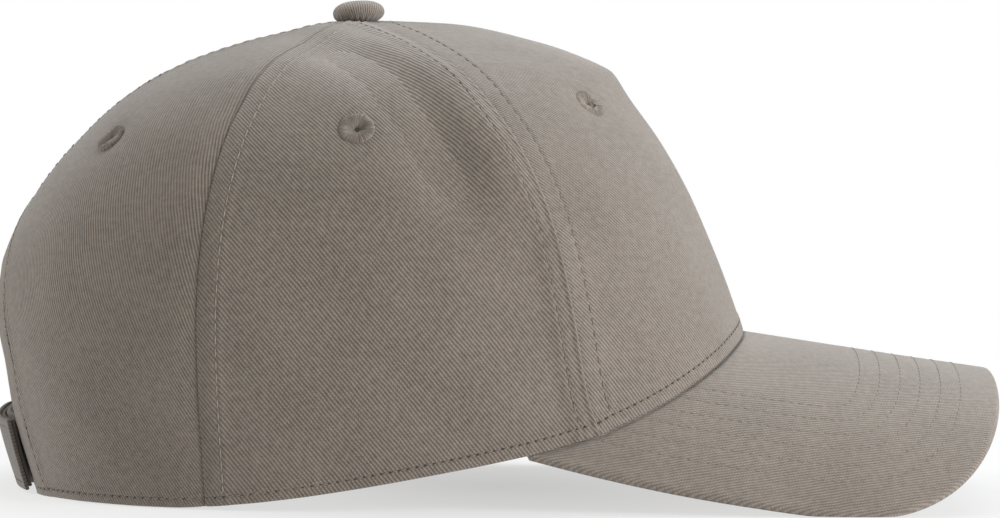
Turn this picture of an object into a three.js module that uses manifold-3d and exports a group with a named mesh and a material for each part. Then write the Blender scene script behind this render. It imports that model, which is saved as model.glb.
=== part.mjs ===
// Five panel cap in cotton twill, standing on a table by itself.
// Millimetres, +X forward along the peak, +Y to the wearer's left, +Z up.
import * as THREE from 'three';
import Module from 'manifold-3d';

// Crown: one wide front panel, two side panels and two rear panels
const CROWN_HEIGHT = 130;
const FRONT_REACH = 118;
const BACK_REACH = 99.8;
const HALF_WIDTH = 84.8;
const CLOTH_WALL = 1.8;
const SEAM_GAP = 0.3;
const REAR_SEAM_ANGLE = 116.8;
const REAR_SEAM_DIP = 0.7;
const FRONT_SEAM_RISE = 0.5;
const SEAM_RELIEF_WIDTH = 3.2;
const SEAM_FADE_RADIUS = 20;
const SEAM_SLANT = 1.15;
const FRONT_CREST = 3.6;
const CREST_SHARE = 0.9;
const CREST_HALF_HEIGHT = 6;
const CREST_HALF_ANGLE = 15;
const CREST_SHARPNESS = 1.3;
const SIDE_DENT = 1.3;
const SIDE_DENT_ANGLE = 71;
const SIDE_DENT_HALF_ANGLE = 6;
const SIDE_DENT_RISE = 0.74;
const SIDE_DENT_SPAN = 0.17;

// Rim: it rests flat beside the rear opening and climbs to the corner of the peak
const REST_ANGLE = 123;
const CORNER_ANGLE = 58.4;
const CORNER_BLEND_ANGLE = 8;
const RIM_CURVE = 1.4;

// Opening above the strap
const OPENING_HALF_WIDTH = 40;
const OPENING_SPRING = 30;
const OPENING_CORNER_SHARE = 0.38;

// Peak: a board curved over its length that falls toward its front edge
const PEAK_LENGTH = 70;
const PEAK_HALF_WIDTH = 77.2;
const PEAK_ARCH_RADIUS = 92.6;
const PEAK_FALL = 0.1406;
const PEAK_ROOT_HEIGHT = 44.5;
const PEAK_BOARD = 3.2;
const PEAK_SQUARENESS = 3.8;
const PEAK_SHOULDER = 4;
const PEAK_TAPER = 2.4;
const PEAK_EDGE_ROUND = 0.9;
const PEAK_EDGE_CURVE = 0.45;
const PEAK_CORNER_LEAD = 2;
const PEAK_ROOT_TRIM_ANGLE = 0.9;

// Sweatband inside the rim
const BAND_HEIGHT = 30;
const BAND_WALL = 1.2;
const BAND_SETBACK = 0.6;
const BAND_END_ANGLE = 143;

// Strap in two halves closed with hook and loop
const STRAP_WIDTH = 19.2;
const STRAP_FOOT = 1.6;
const STRAP_ROOT_ANGLE = 145;
const INNER_STRAP_WALL = 1.3;
const OUTER_STRAP_WALL = 2.6;
const INNER_STRAP_END = 186;
const OUTER_STRAP_END = 204;
const STRAP_RISE_START = 155;
const INNER_STRAP_RISE_END = 165;
const OUTER_STRAP_RISE_END = 171;

// Button and eyelets
const BUTTON_DIAMETER = 14.4;
const BUTTON_HEIGHT = 5.4;
const BUTTON_STEM_RADIUS = 1.5;
const BUTTON_STEM_LENGTH = 4.4;
const TOP_HOLE_RADIUS = 3;
const EYELET_DIAMETER = 9;
const EYELET_HOLE = 2.6;
const EYELET_LIP = 0.8;
const EYELET_BARREL = 1;
const EYELET_SEAT = 0.45;
const FIT = 0.3;

// The button axis stands this far behind the middle of the whole length
const AXIS_BACK = 39.7;

// Level sections of the crown from the floor up, each a share of the size named above.
// The last column is the angle of the front seam in degrees off the front.
const SECTIONS = [
  { up: 0.000, back: 0.900, front: 1.000, side: 0.934, seam: 43.0 },
  { up: 0.115, back: 0.948, front: 0.983, side: 0.960, seam: 44.5 },
  { up: 0.246, back: 0.988, front: 0.952, side: 0.986, seam: 48.0 },
  { up: 0.385, back: 1.000, front: 0.905, side: 1.000, seam: 50.0 },
  { up: 0.523, back: 0.952, front: 0.846, side: 0.986, seam: 51.5 },
  { up: 0.646, back: 0.864, front: 0.786, side: 0.939, seam: 53.0 },
  { up: 0.754, back: 0.749, front: 0.717, side: 0.853, seam: 55.0 },
  { up: 0.838, back: 0.624, front: 0.642, side: 0.741, seam: 57.0 },
  { up: 0.900, back: 0.484, front: 0.568, side: 0.613, seam: 58.5 },
  { up: 0.942, back: 0.336, front: 0.478, side: 0.466, seam: 61.0 },
  { up: 0.969, back: 0.208, front: 0.372, side: 0.330, seam: 63.5 },
  { up: 0.987, back: 0.126, front: 0.268, side: 0.212, seam: 68.0 },
  { up: 0.996, back: 0.058, front: 0.170, side: 0.112, seam: 72.0 },
  { up: 1.000, back: 0.000, front: 0.000, side: 0.000, seam: 74.0 },
];
const CREST_ROW = SECTIONS.findIndex(({ up }) => up >= CREST_SHARE);
const BACK_SQUARENESS = 2.8;
const FRONT_SQUARENESS = 2.08;

// Grid steps of the solids
const ROWS_BELOW_CREST = 11;
const ROWS_ABOVE_CREST = 6;
const FRONT_COLUMNS = 20;
const SIDE_COLUMNS = 15;
const REAR_COLUMNS = 16;
const PEAK_COLUMNS = 40;
const PEAK_ROWS = 7;
const COLUMN_CLUSTER = 0.45;
const REAR_COLUMN_LEAN = 0.7;
const SETTLE_PASSES = 4;

const wasm = await Module();
wasm.setup();

const FINISHES = {
  side: { color: 0x9a8f84, roughness: 0.92, metalness: 0 },
  front: { color: 0x9e9489, roughness: 0.92, metalness: 0 },
  rear: { color: 0x978c81, roughness: 0.92, metalness: 0 },
  peak: { color: 0x9f968b, roughness: 0.92, metalness: 0 },
  button: { color: 0x9e9489, roughness: 0.9, metalness: 0 },
  band: { color: 0x8d8277, roughness: 0.95, metalness: 0 },
  strap: { color: 0x978c81, roughness: 0.92, metalness: 0 },
  thread: { color: 0x8d8277, roughness: 0.85, metalness: 0 },
};

const radians = (angle) => angle * Math.PI / 180;
const degrees = (angle) => angle * 180 / Math.PI;
const mix = (a, b, share) => a + (b - a) * share;
const signed = (value, power) => Math.sign(value) * Math.abs(value) ** power;

// Smooth reading of one column of the table at a row position
function readColumn(name, row) {
  const last = SECTIONS.length - 1;
  const place = Math.min(Math.max(row, 0), last - 1e-9);
  const i = Math.floor(place);
  const u = place - i;
  const a = SECTIONS[Math.max(i - 1, 0)][name];
  const b = SECTIONS[i][name];
  const c = SECTIONS[i + 1][name];
  const d = SECTIONS[Math.min(i + 2, last)][name];
  const linear = (c - a) * u;
  const square = (2 * a - 5 * b + 4 * c - d) * u * u;
  const cube = (3 * b - a - 3 * c + d) * u * u * u;
  return 0.5 * (2 * b + linear + square + cube);
}

function rowAtHeight(height) {
  let low = 0;
  let high = SECTIONS.length - 1;
  for (let step = 0; step < 48; step += 1) {
    const middle = (low + high) / 2;
    if (readColumn('up', middle) * CROWN_HEIGHT < height) {
      low = middle;
    } else {
      high = middle;
    }
  }
  return (low + high) / 2;
}

const bell = (value, width) => Math.exp(-((value / width) ** 2));

// Small rises and dips: crest, seams and the soft dent of each side panel
function relief(turn, row, radius) {
  const up = readColumn('up', row);
  const height = up * CROWN_HEIGHT;
  const crestHeight = CREST_SHARE * CROWN_HEIGHT;
  const climb = Math.abs(height - crestHeight) / CREST_HALF_HEIGHT;
  const crest = FRONT_CREST * bell(turn, CREST_HALF_ANGLE) * Math.exp(-(climb ** CREST_SHARPNESS));
  const toMillimetres = radians(radius);
  const fade = Math.min(1, radius / SEAM_FADE_RADIUS);
  const frontSeam = readColumn('seam', row);
  const rise = FRONT_SEAM_RISE * bell((turn - frontSeam) * toMillimetres, SEAM_RELIEF_WIDTH);
  const rear = bell((turn - REAR_SEAM_ANGLE) * toMillimetres, SEAM_RELIEF_WIDTH);
  const back = bell((180 - turn) * toMillimetres, SEAM_RELIEF_WIDTH);
  const dentAcross = bell(turn - SIDE_DENT_ANGLE, SIDE_DENT_HALF_ANGLE);
  const dent = SIDE_DENT * dentAcross * bell(up - SIDE_DENT_RISE, SIDE_DENT_SPAN);
  return crest - dent + fade * (rise - REAR_SEAM_DIP * (rear + back));
}

function crownRadius(angle, row, plainCloth = false) {
  const turn = Math.abs(((angle + 540) % 360) - 180);
  const c = Math.cos(radians(turn));
  const s = Math.sin(radians(turn));
  const ahead = c >= 0;
  const reach = ahead
    ? readColumn('front', row) * FRONT_REACH
    : readColumn('back', row) * BACK_REACH;
  const side = readColumn('side', row) * HALF_WIDTH;
  const power = ahead ? FRONT_SQUARENESS : BACK_SQUARENESS;
  const across = (Math.abs(c) / Math.max(reach, 1e-6)) ** power;
  const along = (s / Math.max(side, 1e-6)) ** power;
  const plain = (across + along) ** (-1 / power);
  return plainCloth ? plain : plain + relief(turn, row, plain);
}

function outerPoint(angle, row, plainCloth = false) {
  const r = crownRadius(angle, row, plainCloth);
  const z = readColumn('up', row) * CROWN_HEIGHT;
  return new THREE.Vector3(r * Math.cos(radians(angle)), r * Math.sin(radians(angle)), z);
}

function crownNormal(angle, row, plainCloth = false) {
  const turnStep = 1.2;
  const rowStep = 0.08;
  const top = SECTIONS.length - 1.001;
  const above = outerPoint(angle, Math.min(row + rowStep, top), plainCloth);
  const below = outerPoint(angle, Math.max(row - rowStep, 0), plainCloth);
  const left = outerPoint(angle + turnStep, row, plainCloth);
  const right = outerPoint(angle - turnStep, row, plainCloth);
  return left.sub(right).cross(above.sub(below)).normalize();
}

function crownPoint(angle, row, inset) {
  return outerPoint(angle, row).addScaledVector(crownNormal(angle, row), -inset);
}

// Upper face of the peak, a bent cylinder that falls forward
function peakHeight(x, y) {
  const drop = PEAK_ARCH_RADIUS - Math.sqrt(Math.max(PEAK_ARCH_RADIUS ** 2 - y * y, 1));
  return PEAK_ROOT_HEIGHT - PEAK_FALL * (x - ROOT_X) - drop;
}

const ROOT_X = outerPoint(0, rowAtHeight(PEAK_ROOT_HEIGHT)).x;

function rimRowOnPeak(angle) {
  let height = PEAK_ROOT_HEIGHT;
  for (let step = 0; step < 60; step += 1) {
    const spot = outerPoint(angle, rowAtHeight(height));
    height = mix(height, peakHeight(spot.x, spot.y) + FIT, 0.5);
  }
  return rowAtHeight(height);
}

const CORNER_HEIGHT = readColumn('up', rimRowOnPeak(CORNER_ANGLE)) * CROWN_HEIGHT;

function rimHeight(angle) {
  const turn = Math.abs(angle);
  if (turn <= CORNER_ANGLE) {
    return readColumn('up', rimRowOnPeak(turn)) * CROWN_HEIGHT;
  }
  const share = Math.max(0, (REST_ANGLE - turn) / (REST_ANGLE - CORNER_ANGLE));
  return CORNER_HEIGHT * share ** RIM_CURVE;
}

const rimRow = (angle) => rowAtHeight(rimHeight(angle));

// Row at which a panel ends, at the round hole under the button
function topRow(angle) {
  let low = CREST_ROW;
  let high = SECTIONS.length - 1;
  for (let step = 0; step < 30; step += 1) {
    const middle = (low + high) / 2;
    if (crownRadius(angle, middle, true) > TOP_HOLE_RADIUS) {
      low = middle;
    } else {
      high = middle;
    }
  }
  return (low + high) / 2;
}

const CROWN_ROWS = ROWS_BELOW_CREST + ROWS_ABOVE_CREST;

// Share of the way up a panel column at which its grid row stands
function columnRow(bottomRow, step, angle) {
  if (step <= ROWS_BELOW_CREST) {
    return mix(bottomRow, CREST_ROW, step / ROWS_BELOW_CREST);
  }
  return mix(CREST_ROW, topRow(angle), (step - ROWS_BELOW_CREST) / ROWS_ABOVE_CREST);
}

// Closed solid between two faces of a grid; the rims of the grids are joined by walls
function slab(columns, rows, outer, inner) {
  const points = [];
  const faces = [];
  const at = (layer, i, j) => layer * (columns + 1) * (rows + 1) + i * (rows + 1) + j;
  [outer, inner].forEach((face) => {
    for (let i = 0; i <= columns; i += 1) {
      for (let j = 0; j <= rows; j += 1) {
        points.push(face(i, j));
      }
    }
  });
  const quad = (a, b, c, d) => {
    const first = points[a].distanceTo(points[c]);
    const second = points[b].distanceTo(points[d]);
    if (first <= second) {
      faces.push([a, b, c], [a, c, d]);
    } else {
      faces.push([a, b, d], [b, c, d]);
    }
  };
  for (let i = 0; i < columns; i += 1) {
    for (let j = 0; j < rows; j += 1) {
      quad(at(0, i, j), at(0, i + 1, j), at(0, i + 1, j + 1), at(0, i, j + 1));
      quad(at(1, i, j), at(1, i, j + 1), at(1, i + 1, j + 1), at(1, i + 1, j));
    }
  }
  for (let i = 0; i < columns; i += 1) {
    quad(at(1, i, 0), at(1, i + 1, 0), at(0, i + 1, 0), at(0, i, 0));
    quad(at(0, i, rows), at(0, i + 1, rows), at(1, i + 1, rows), at(1, i, rows));
  }
  for (let j = 0; j < rows; j += 1) {
    quad(at(0, 0, j), at(0, 0, j + 1), at(1, 0, j + 1), at(1, 0, j));
    quad(at(1, columns, j), at(1, columns, j + 1), at(0, columns, j + 1), at(0, columns, j));
  }
  return { points, faces };
}

function solidOf({ points, faces }) {
  const vertProperties = new Float32Array(points.flatMap((p) => [p.x, p.y, p.z]));
  const triVerts = new Uint32Array(faces.flat());
  const solid = new wasm.Manifold(new wasm.Mesh({ numProp: 3, vertProperties, triVerts }));
  return solid.volume() < 0 ? solidOf({ points, faces: faces.map((f) => [f[0], f[2], f[1]]) }) : solid;
}

function meshOf(solid, name, finish) {
  const made = solid.getMesh();
  const geometry = new THREE.BufferGeometry();
  const places = new Float32Array(made.numVert * 3);
  for (let i = 0; i < made.numVert; i += 1) {
    for (let k = 0; k < 3; k += 1) {
      places[i * 3 + k] = made.vertProperties[i * made.numProp + k];
    }
  }
  geometry.setAttribute('position', new THREE.BufferAttribute(places, 3));
  geometry.setIndex(new THREE.BufferAttribute(new Uint32Array(made.triVerts), 1));
  geometry.translate(-AXIS_BACK, 0, 0);
  geometry.computeVertexNormals();
  const mesh = new THREE.Mesh(geometry, new THREE.MeshStandardMaterial(finish));
  mesh.name = name;
  return mesh;
}

// A solid turned about its own axis, set on the crown along its outward direction
function turned(profile, segments, place, direction) {
  const points = [];
  const faces = [];
  const turn = new THREE.Quaternion().setFromUnitVectors(new THREE.Vector3(0, 0, 1), direction);
  const set = (r, z, angle) => new THREE.Vector3(r * Math.cos(angle), r * Math.sin(angle), z)
    .applyQuaternion(turn).add(place);
  const closed = profile.every(([r]) => r > 0);
  const rings = closed ? profile : profile.slice(1, -1);
  rings.forEach(([r, z]) => {
    for (let i = 0; i < segments; i += 1) {
      points.push(set(r, z, 2 * Math.PI * i / segments));
    }
  });
  const at = (ring, i) => (ring % rings.length) * segments + (i % segments);
  const last = closed ? rings.length : rings.length - 1;
  for (let ring = 0; ring < last; ring += 1) {
    for (let i = 0; i < segments; i += 1) {
      faces.push([at(ring, i), at(ring, i + 1), at(ring + 1, i + 1)]);
      faces.push([at(ring, i), at(ring + 1, i + 1), at(ring + 1, i)]);
    }
  }
  if (!closed) {
    const foot = points.push(set(0, profile[0][1], 0)) - 1;
    const head = points.push(set(0, profile[profile.length - 1][1], 0)) - 1;
    for (let i = 0; i < segments; i += 1) {
      faces.push([foot, at(0, i + 1), at(0, i)]);
      faces.push([head, at(rings.length - 1, i), at(rings.length - 1, i + 1)]);
    }
  }
  return solidOf({ points, faces });
}

// Angle that moves a panel edge half a seam gap away from its seam
const edgeShift = (angle, row) => degrees((SEAM_GAP / 2) * SEAM_SLANT / crownRadius(angle, row));

// Rim edges lie level through the wall, and follow the peak where they sit on it
function seated(spot, angle, row) {
  const level = Math.max(0, outerPoint(angle, row).z);
  const onPeak = Math.abs(angle) < CORNER_ANGLE + CORNER_BLEND_ANGLE;
  spot.z = onPeak ? Math.max(level, peakHeight(spot.x, spot.y) + FIT) : level;
  return spot;
}

// Closer columns beside the seams
const seamSpaced = (share) => mix(share, 0.5 - 0.5 * Math.cos(Math.PI * share), COLUMN_CLUSTER);

function panelFaces(columns, place) {
  const face = (inset) => (i, j) => {
    const { angle, row } = place(seamSpaced(i / columns), j);
    const spot = crownPoint(angle, row, inset);
    return j === 0 ? seated(spot, angle, row) : spot;
  };
  return slab(columns, CROWN_ROWS, face(0), face(CLOTH_WALL));
}

function frontPanel() {
  const place = (share, step) => {
    let row = 0;
    let angle = 0;
    for (let pass = 0; pass < SETTLE_PASSES; pass += 1) {
      row = columnRow(rimRow(angle), step, angle);
      const edge = readColumn('seam', row) - edgeShift(readColumn('seam', row), row);
      angle = mix(-edge, edge, share);
    }
    return { angle, row };
  };
  return solidOf(panelFaces(FRONT_COLUMNS, place));
}

function sidePanel(hand) {
  const place = (share, step) => {
    let row = 0;
    let turn = 90;
    for (let pass = 0; pass < SETTLE_PASSES; pass += 1) {
      row = columnRow(rimRow(turn), step, turn);
      const front = readColumn('seam', row);
      const near = front + edgeShift(front, row);
      const far = REAR_SEAM_ANGLE - edgeShift(REAR_SEAM_ANGLE, row);
      turn = mix(near, far, share);
    }
    return { angle: hand * turn, row };
  };
  return solidOf(panelFaces(SIDE_COLUMNS, place));
}

// Angle at which a level row of the rear wall stands a given distance off the middle
function angleAtSide(side, row) {
  let low = 120;
  let high = 180;
  for (let step = 0; step < 40; step += 1) {
    const middle = (low + high) / 2;
    if (crownRadius(middle, row) * Math.sin(radians(middle)) > side) {
      low = middle;
    } else {
      high = middle;
    }
  }
  return (low + high) / 2;
}

// Lower edge of a rear panel: along the rim, then up and over the opening
function rearLowerEdge(share) {
  const corner = angleAtSide(OPENING_HALF_WIDTH, 0);
  if (share <= OPENING_CORNER_SHARE) {
    const turn = mix(REAR_SEAM_ANGLE, corner, share / OPENING_CORNER_SHARE);
    return { turn, row: rimRow(turn) };
  }
  const legLength = OPENING_SPRING;
  const archLength = OPENING_HALF_WIDTH * Math.PI / 2;
  const way = (share - OPENING_CORNER_SHARE) / (1 - OPENING_CORNER_SHARE) * (legLength + archLength);
  const swing = Math.max(0, way - legLength) / OPENING_HALF_WIDTH;
  const side = OPENING_HALF_WIDTH * Math.cos(swing);
  const height = Math.min(way, legLength) + OPENING_HALF_WIDTH * Math.sin(swing);
  const row = rowAtHeight(height);
  return { turn: angleAtSide(side, row), row };
}

function rearPanel(hand) {
  const place = (share, step) => {
    const low = rearLowerEdge(share);
    const row = columnRow(low.row, step, mix(REAR_SEAM_ANGLE, 180, share));
    const rise = step / CROWN_ROWS;
    const lean = mix(low.turn, mix(REAR_SEAM_ANGLE, 180, share), rise ** REAR_COLUMN_LEAN);
    const near = REAR_SEAM_ANGLE + edgeShift(REAR_SEAM_ANGLE, row);
    const far = 180 - edgeShift(180, row);
    return { angle: hand * Math.min(Math.max(lean, near), far), row };
  };
  const face = (inset) => (i, j) => {
    const { angle, row } = place(i / REAR_COLUMNS, j);
    const spot = crownPoint(angle, row, inset);
    const onRim = j === 0 && i / REAR_COLUMNS <= OPENING_CORNER_SHARE;
    return onRim ? seated(spot, angle, row) : spot;
  };
  return solidOf(slab(REAR_COLUMNS, CROWN_ROWS, face(0), face(CLOTH_WALL)));
}

// Outline of the peak seen from above, resampled at even steps
function peakOutline(count) {
  const corner = outerPoint(CORNER_ANGLE, rimRow(CORNER_ANGLE));
  const shoulderX = ROOT_X - PEAK_SHOULDER;
  const length = ROOT_X + PEAK_LENGTH - shoulderX;
  const dense = [];
  const sideSteps = 40;
  const frontSteps = 160;
  for (let i = 0; i <= sideSteps; i += 1) {
    const share = i / sideSteps;
    const x = mix(corner.x + PEAK_CORNER_LEAD, shoulderX, share);
    dense.push(new THREE.Vector2(x, PEAK_HALF_WIDTH - PEAK_TAPER * (1 - share) ** 2));
  }
  for (let i = 1; i <= frontSteps; i += 1) {
    const swing = Math.PI / 2 * (1 - i / frontSteps);
    const x = shoulderX + length * signed(Math.cos(swing), 2 / PEAK_SQUARENESS);
    dense.push(new THREE.Vector2(x, PEAK_HALF_WIDTH * signed(Math.sin(swing), 2 / PEAK_SQUARENESS)));
  }
  const lengths = [0];
  for (let i = 1; i < dense.length; i += 1) {
    lengths.push(lengths[i - 1] + dense[i].distanceTo(dense[i - 1]));
  }
  const total = lengths[lengths.length - 1];
  const half = [];
  for (let k = 0; k <= count / 2; k += 1) {
    const want = total * k / (count / 2);
    let i = 1;
    while (i < lengths.length - 1 && lengths[i] < want) {
      i += 1;
    }
    const share = (want - lengths[i - 1]) / (lengths[i] - lengths[i - 1]);
    half.push(dense[i - 1].clone().lerp(dense[i], share));
  }
  const mirrored = half.slice(0, -1).reverse().map((p) => new THREE.Vector2(p.x, -p.y));
  return [...half, ...mirrored];
}

function peak() {
  const outline = peakOutline(PEAK_COLUMNS);
  const innerEdge = outline.map((_, i) => {
    const end = CORNER_ANGLE - PEAK_ROOT_TRIM_ANGLE;
    const angle = mix(end, -end, i / PEAK_COLUMNS);
    const spot = crownPoint(angle, rimRow(angle), CLOTH_WALL - SEAM_GAP);
    return new THREE.Vector2(spot.x, spot.y);
  });
  const lift = (p, inset) => {
    const slopeY = p.y / Math.sqrt(PEAK_ARCH_RADIUS ** 2 - p.y * p.y);
    const up = new THREE.Vector3(PEAK_FALL, slopeY, 1).normalize();
    const spot = new THREE.Vector3(p.x, p.y, peakHeight(p.x, p.y)).addScaledVector(up, -inset);
    spot.z = Math.max(spot.z, 0);
    return spot;
  };
  const face = (inset) => (i, j) => {
    const inward = innerEdge[i].clone().sub(outline[i]);
    const way = PEAK_EDGE_ROUND / Math.max(inward.length(), 3 * PEAK_EDGE_ROUND);
    const edge = outline[i].clone().addScaledVector(inward, j === PEAK_ROWS ? 0 : way);
    const last = PEAK_ROWS - 1;
    const flat = innerEdge[i].clone().lerp(edge, Math.min(j / last, 1));
    const half = PEAK_BOARD / 2;
    const depth = j === PEAK_ROWS ? mix(half, inset, PEAK_EDGE_CURVE) : inset;
    return lift(flat, depth);
  };
  return solidOf(slab(PEAK_COLUMNS, PEAK_ROWS, face(0), face(PEAK_BOARD)));
}

// Pieces that follow the crown without its seams keep this depth under its outer face
const INSIDE_DEPTH = CLOTH_WALL + FIT + REAR_SEAM_DIP;

function followingPoint(angle, row, depth) {
  return outerPoint(angle, row, true).addScaledVector(crownNormal(angle, row, true), -depth);
}

function sweatband() {
  const columns = 60;
  const rows = 3;
  const face = (inset) => (i, j) => {
    const angle = mix(-BAND_END_ANGLE, BAND_END_ANGLE, i / columns);
    const height = rimHeight(angle) + BAND_SETBACK + BAND_HEIGHT * j / rows;
    return followingPoint(angle, rowAtHeight(height), inset);
  };
  const outer = INSIDE_DEPTH;
  return solidOf(slab(columns, rows, face(outer), face(outer + BAND_WALL)));
}

// A strap half follows the rear wall; its depth under the outer face changes along its way
function strap(startAngle, endAngle, wall, depthAt) {
  const columns = 16;
  const rows = 3;
  const face = (extra) => (i, j) => {
    const turn = mix(startAngle, endAngle, i / columns);
    const row = rowAtHeight(STRAP_FOOT + STRAP_WIDTH * j / rows);
    return followingPoint(turn, row, depthAt(Math.abs(turn)) + extra);
  };
  return solidOf(slab(columns, rows, face(0), face(wall)));
}

const ease = (value, from, to) => {
  const share = Math.min(Math.max((value - from) / (to - from), 0), 1);
  return share * share * (3 - 2 * share);
};

function innerStrap() {
  const depth = (turn) => mix(INSIDE_DEPTH, 0, ease(turn, STRAP_RISE_START, INNER_STRAP_RISE_END));
  return strap(-STRAP_ROOT_ANGLE, -INNER_STRAP_END, INNER_STRAP_WALL, depth);
}

function outerStrap() {
  const outside = -OUTER_STRAP_WALL - FIT;
  const lift = (turn) => ease(turn, STRAP_RISE_START, OUTER_STRAP_RISE_END);
  const depth = (turn) => mix(INSIDE_DEPTH, outside, lift(turn));
  return strap(STRAP_ROOT_ANGLE, OUTER_STRAP_END, OUTER_STRAP_WALL, depth);
}

function button() {
  const r = BUTTON_DIAMETER / 2;
  const h = BUTTON_HEIGHT;
  const profile = [
    [0, -BUTTON_STEM_LENGTH],
    [BUTTON_STEM_RADIUS, -BUTTON_STEM_LENGTH],
    [BUTTON_STEM_RADIUS, 0],
    [r * 0.86, 0],
    [r * 0.97, h * 0.2],
    [r, h * 0.42],
    [r * 0.93, h * 0.68],
    [r * 0.74, h * 0.87],
    [r * 0.42, h * 0.975],
    [0, h],
  ];
  const place = new THREE.Vector3(0, 0, CROWN_HEIGHT + FIT);
  return turned(profile, 24, place, new THREE.Vector3(0, 0, 1));
}

// Eyelet places: angle off the front and height as a share of the crown
const EYELETS = [
  { place: 'front', turn: 28.9, up: 0.836 },
  { place: 'side', turn: 89.5, up: 0.785 },
  { place: 'rear', turn: 145, up: 0.752 },
];

function eyeletSeat(turn, up) {
  const row = rowAtHeight(up * CROWN_HEIGHT);
  return { place: outerPoint(turn, row), direction: crownNormal(turn, row) };
}

function eyelet(turn, up) {
  const hole = EYELET_HOLE / 2;
  const barrel = hole + EYELET_BARREL;
  const lip = EYELET_DIAMETER / 2;
  const under = -CLOTH_WALL - EYELET_SEAT;
  const profile = [
    [hole, under - EYELET_LIP],
    [lip * 0.8, under - EYELET_LIP],
    [lip * 0.8, under],
    [barrel, under],
    [barrel, EYELET_SEAT],
    [lip, EYELET_SEAT],
    [lip * 0.86, EYELET_SEAT + EYELET_LIP * 0.75],
    [hole + 0.5, EYELET_SEAT + EYELET_LIP],
    [hole, EYELET_SEAT + EYELET_LIP * 0.6],
  ];
  const seat = eyeletSeat(turn, up);
  return turned(profile, 14, seat.place, seat.direction);
}

function eyeletHole(turn, up) {
  const seat = eyeletSeat(turn, up);
  const r = EYELET_HOLE / 2 + EYELET_BARREL + FIT;
  const depth = CLOTH_WALL + 6;
  const profile = [[0, -depth], [r, -depth], [r, depth], [0, depth]];
  return turned(profile, 14, seat.place, seat.direction);
}

function pierced(solid, kind, hands) {
  const spot = EYELETS.find((entry) => entry.place === kind);
  return hands.reduce((left, hand) => left.subtract(eyeletHole(hand * spot.turn, spot.up)), solid);
}

const group = new THREE.Group();
group.name = 'five_panel_cap';
const add = (solid, name, finish) => group.add(meshOf(solid, name, FINISHES[finish]));

add(pierced(frontPanel(), 'front', [-1, 1]), 'front_panel', 'front');
[['right', -1], ['left', 1]].forEach(([side, hand]) => {
  add(pierced(sidePanel(hand), 'side', [hand]), `${side}_side_panel`, 'side');
  add(pierced(rearPanel(hand), 'rear', [hand]), `${side}_rear_panel`, 'rear');
  EYELETS.forEach((spot) => {
    add(eyelet(hand * spot.turn, spot.up), `${side}_${spot.place}_eyelet`, 'thread');
  });
});
add(peak(), 'peak', 'peak');
add(sweatband(), 'sweatband', 'band');
add(innerStrap(), 'right_strap', 'strap');
add(outerStrap(), 'left_strap', 'strap');
add(button(), 'button', 'button');

export default group;
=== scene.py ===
"""Looks of the five panel cap: cloth, seams, stitches, eyelets, button, strap, light and camera."""

import logging
import math
from dataclasses import dataclass, field
from enum import Enum
from typing import Callable

import bpy
import numpy as np
from mathutils import Matrix, Vector


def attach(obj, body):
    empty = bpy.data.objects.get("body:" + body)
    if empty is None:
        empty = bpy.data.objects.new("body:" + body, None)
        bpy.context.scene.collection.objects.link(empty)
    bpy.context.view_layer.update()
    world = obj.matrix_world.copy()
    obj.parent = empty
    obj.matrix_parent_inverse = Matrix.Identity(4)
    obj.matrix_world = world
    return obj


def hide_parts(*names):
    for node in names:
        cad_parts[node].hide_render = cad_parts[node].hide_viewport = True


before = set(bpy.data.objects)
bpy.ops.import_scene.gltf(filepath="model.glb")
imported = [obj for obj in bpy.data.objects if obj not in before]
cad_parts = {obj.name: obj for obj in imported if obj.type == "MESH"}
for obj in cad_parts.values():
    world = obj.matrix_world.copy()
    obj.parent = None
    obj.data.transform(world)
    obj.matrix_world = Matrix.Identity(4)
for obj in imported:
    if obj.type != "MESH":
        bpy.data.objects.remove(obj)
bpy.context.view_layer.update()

log = logging.getLogger("cap")
Array = np.ndarray
Socket = bpy.types.NodeSocket
MM = 0.001
AXIS_BACK = 39.7

# Level sections of the crown from the floor up: height, back, front and side reach as shares,
# then the angle of the front seam in degrees off the front
SECTIONS = np.array([
    (0.000, 0.900, 1.000, 0.934, 43.0),
    (0.115, 0.948, 0.983, 0.960, 44.5),
    (0.246, 0.988, 0.952, 0.986, 48.0),
    (0.385, 1.000, 0.905, 1.000, 50.0),
    (0.523, 0.952, 0.846, 0.986, 51.5),
    (0.646, 0.864, 0.786, 0.939, 53.0),
    (0.754, 0.749, 0.717, 0.853, 55.0),
    (0.838, 0.624, 0.642, 0.741, 57.0),
    (0.900, 0.484, 0.568, 0.613, 58.5),
    (0.942, 0.336, 0.478, 0.466, 61.0),
    (0.969, 0.208, 0.372, 0.330, 63.5),
    (0.987, 0.126, 0.268, 0.212, 68.0),
    (0.996, 0.058, 0.170, 0.112, 72.0),
    (1.000, 0.000, 0.000, 0.000, 74.0),
])
LAST_ROW = len(SECTIONS) - 1
REAR_SEAM = 116.8
BACK_SEAM = 180.0
HALF_TURN = 180.0
ANGLE_STEPS = 360
ROW_STEPS = 1300


class Part(Enum):
    """Columns of the section table."""

    UP = 0
    BACK = 1
    FRONT = 2
    SIDE = 3
    SEAM = 4


class Hand(Enum):
    """Side of the cap as the wearer has it."""

    RIGHT = -1
    LEFT = 1


class Cloth(Enum):
    """Kind of crown panel."""

    FRONT = "front"
    SIDE = "side"
    REAR = "rear"


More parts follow.
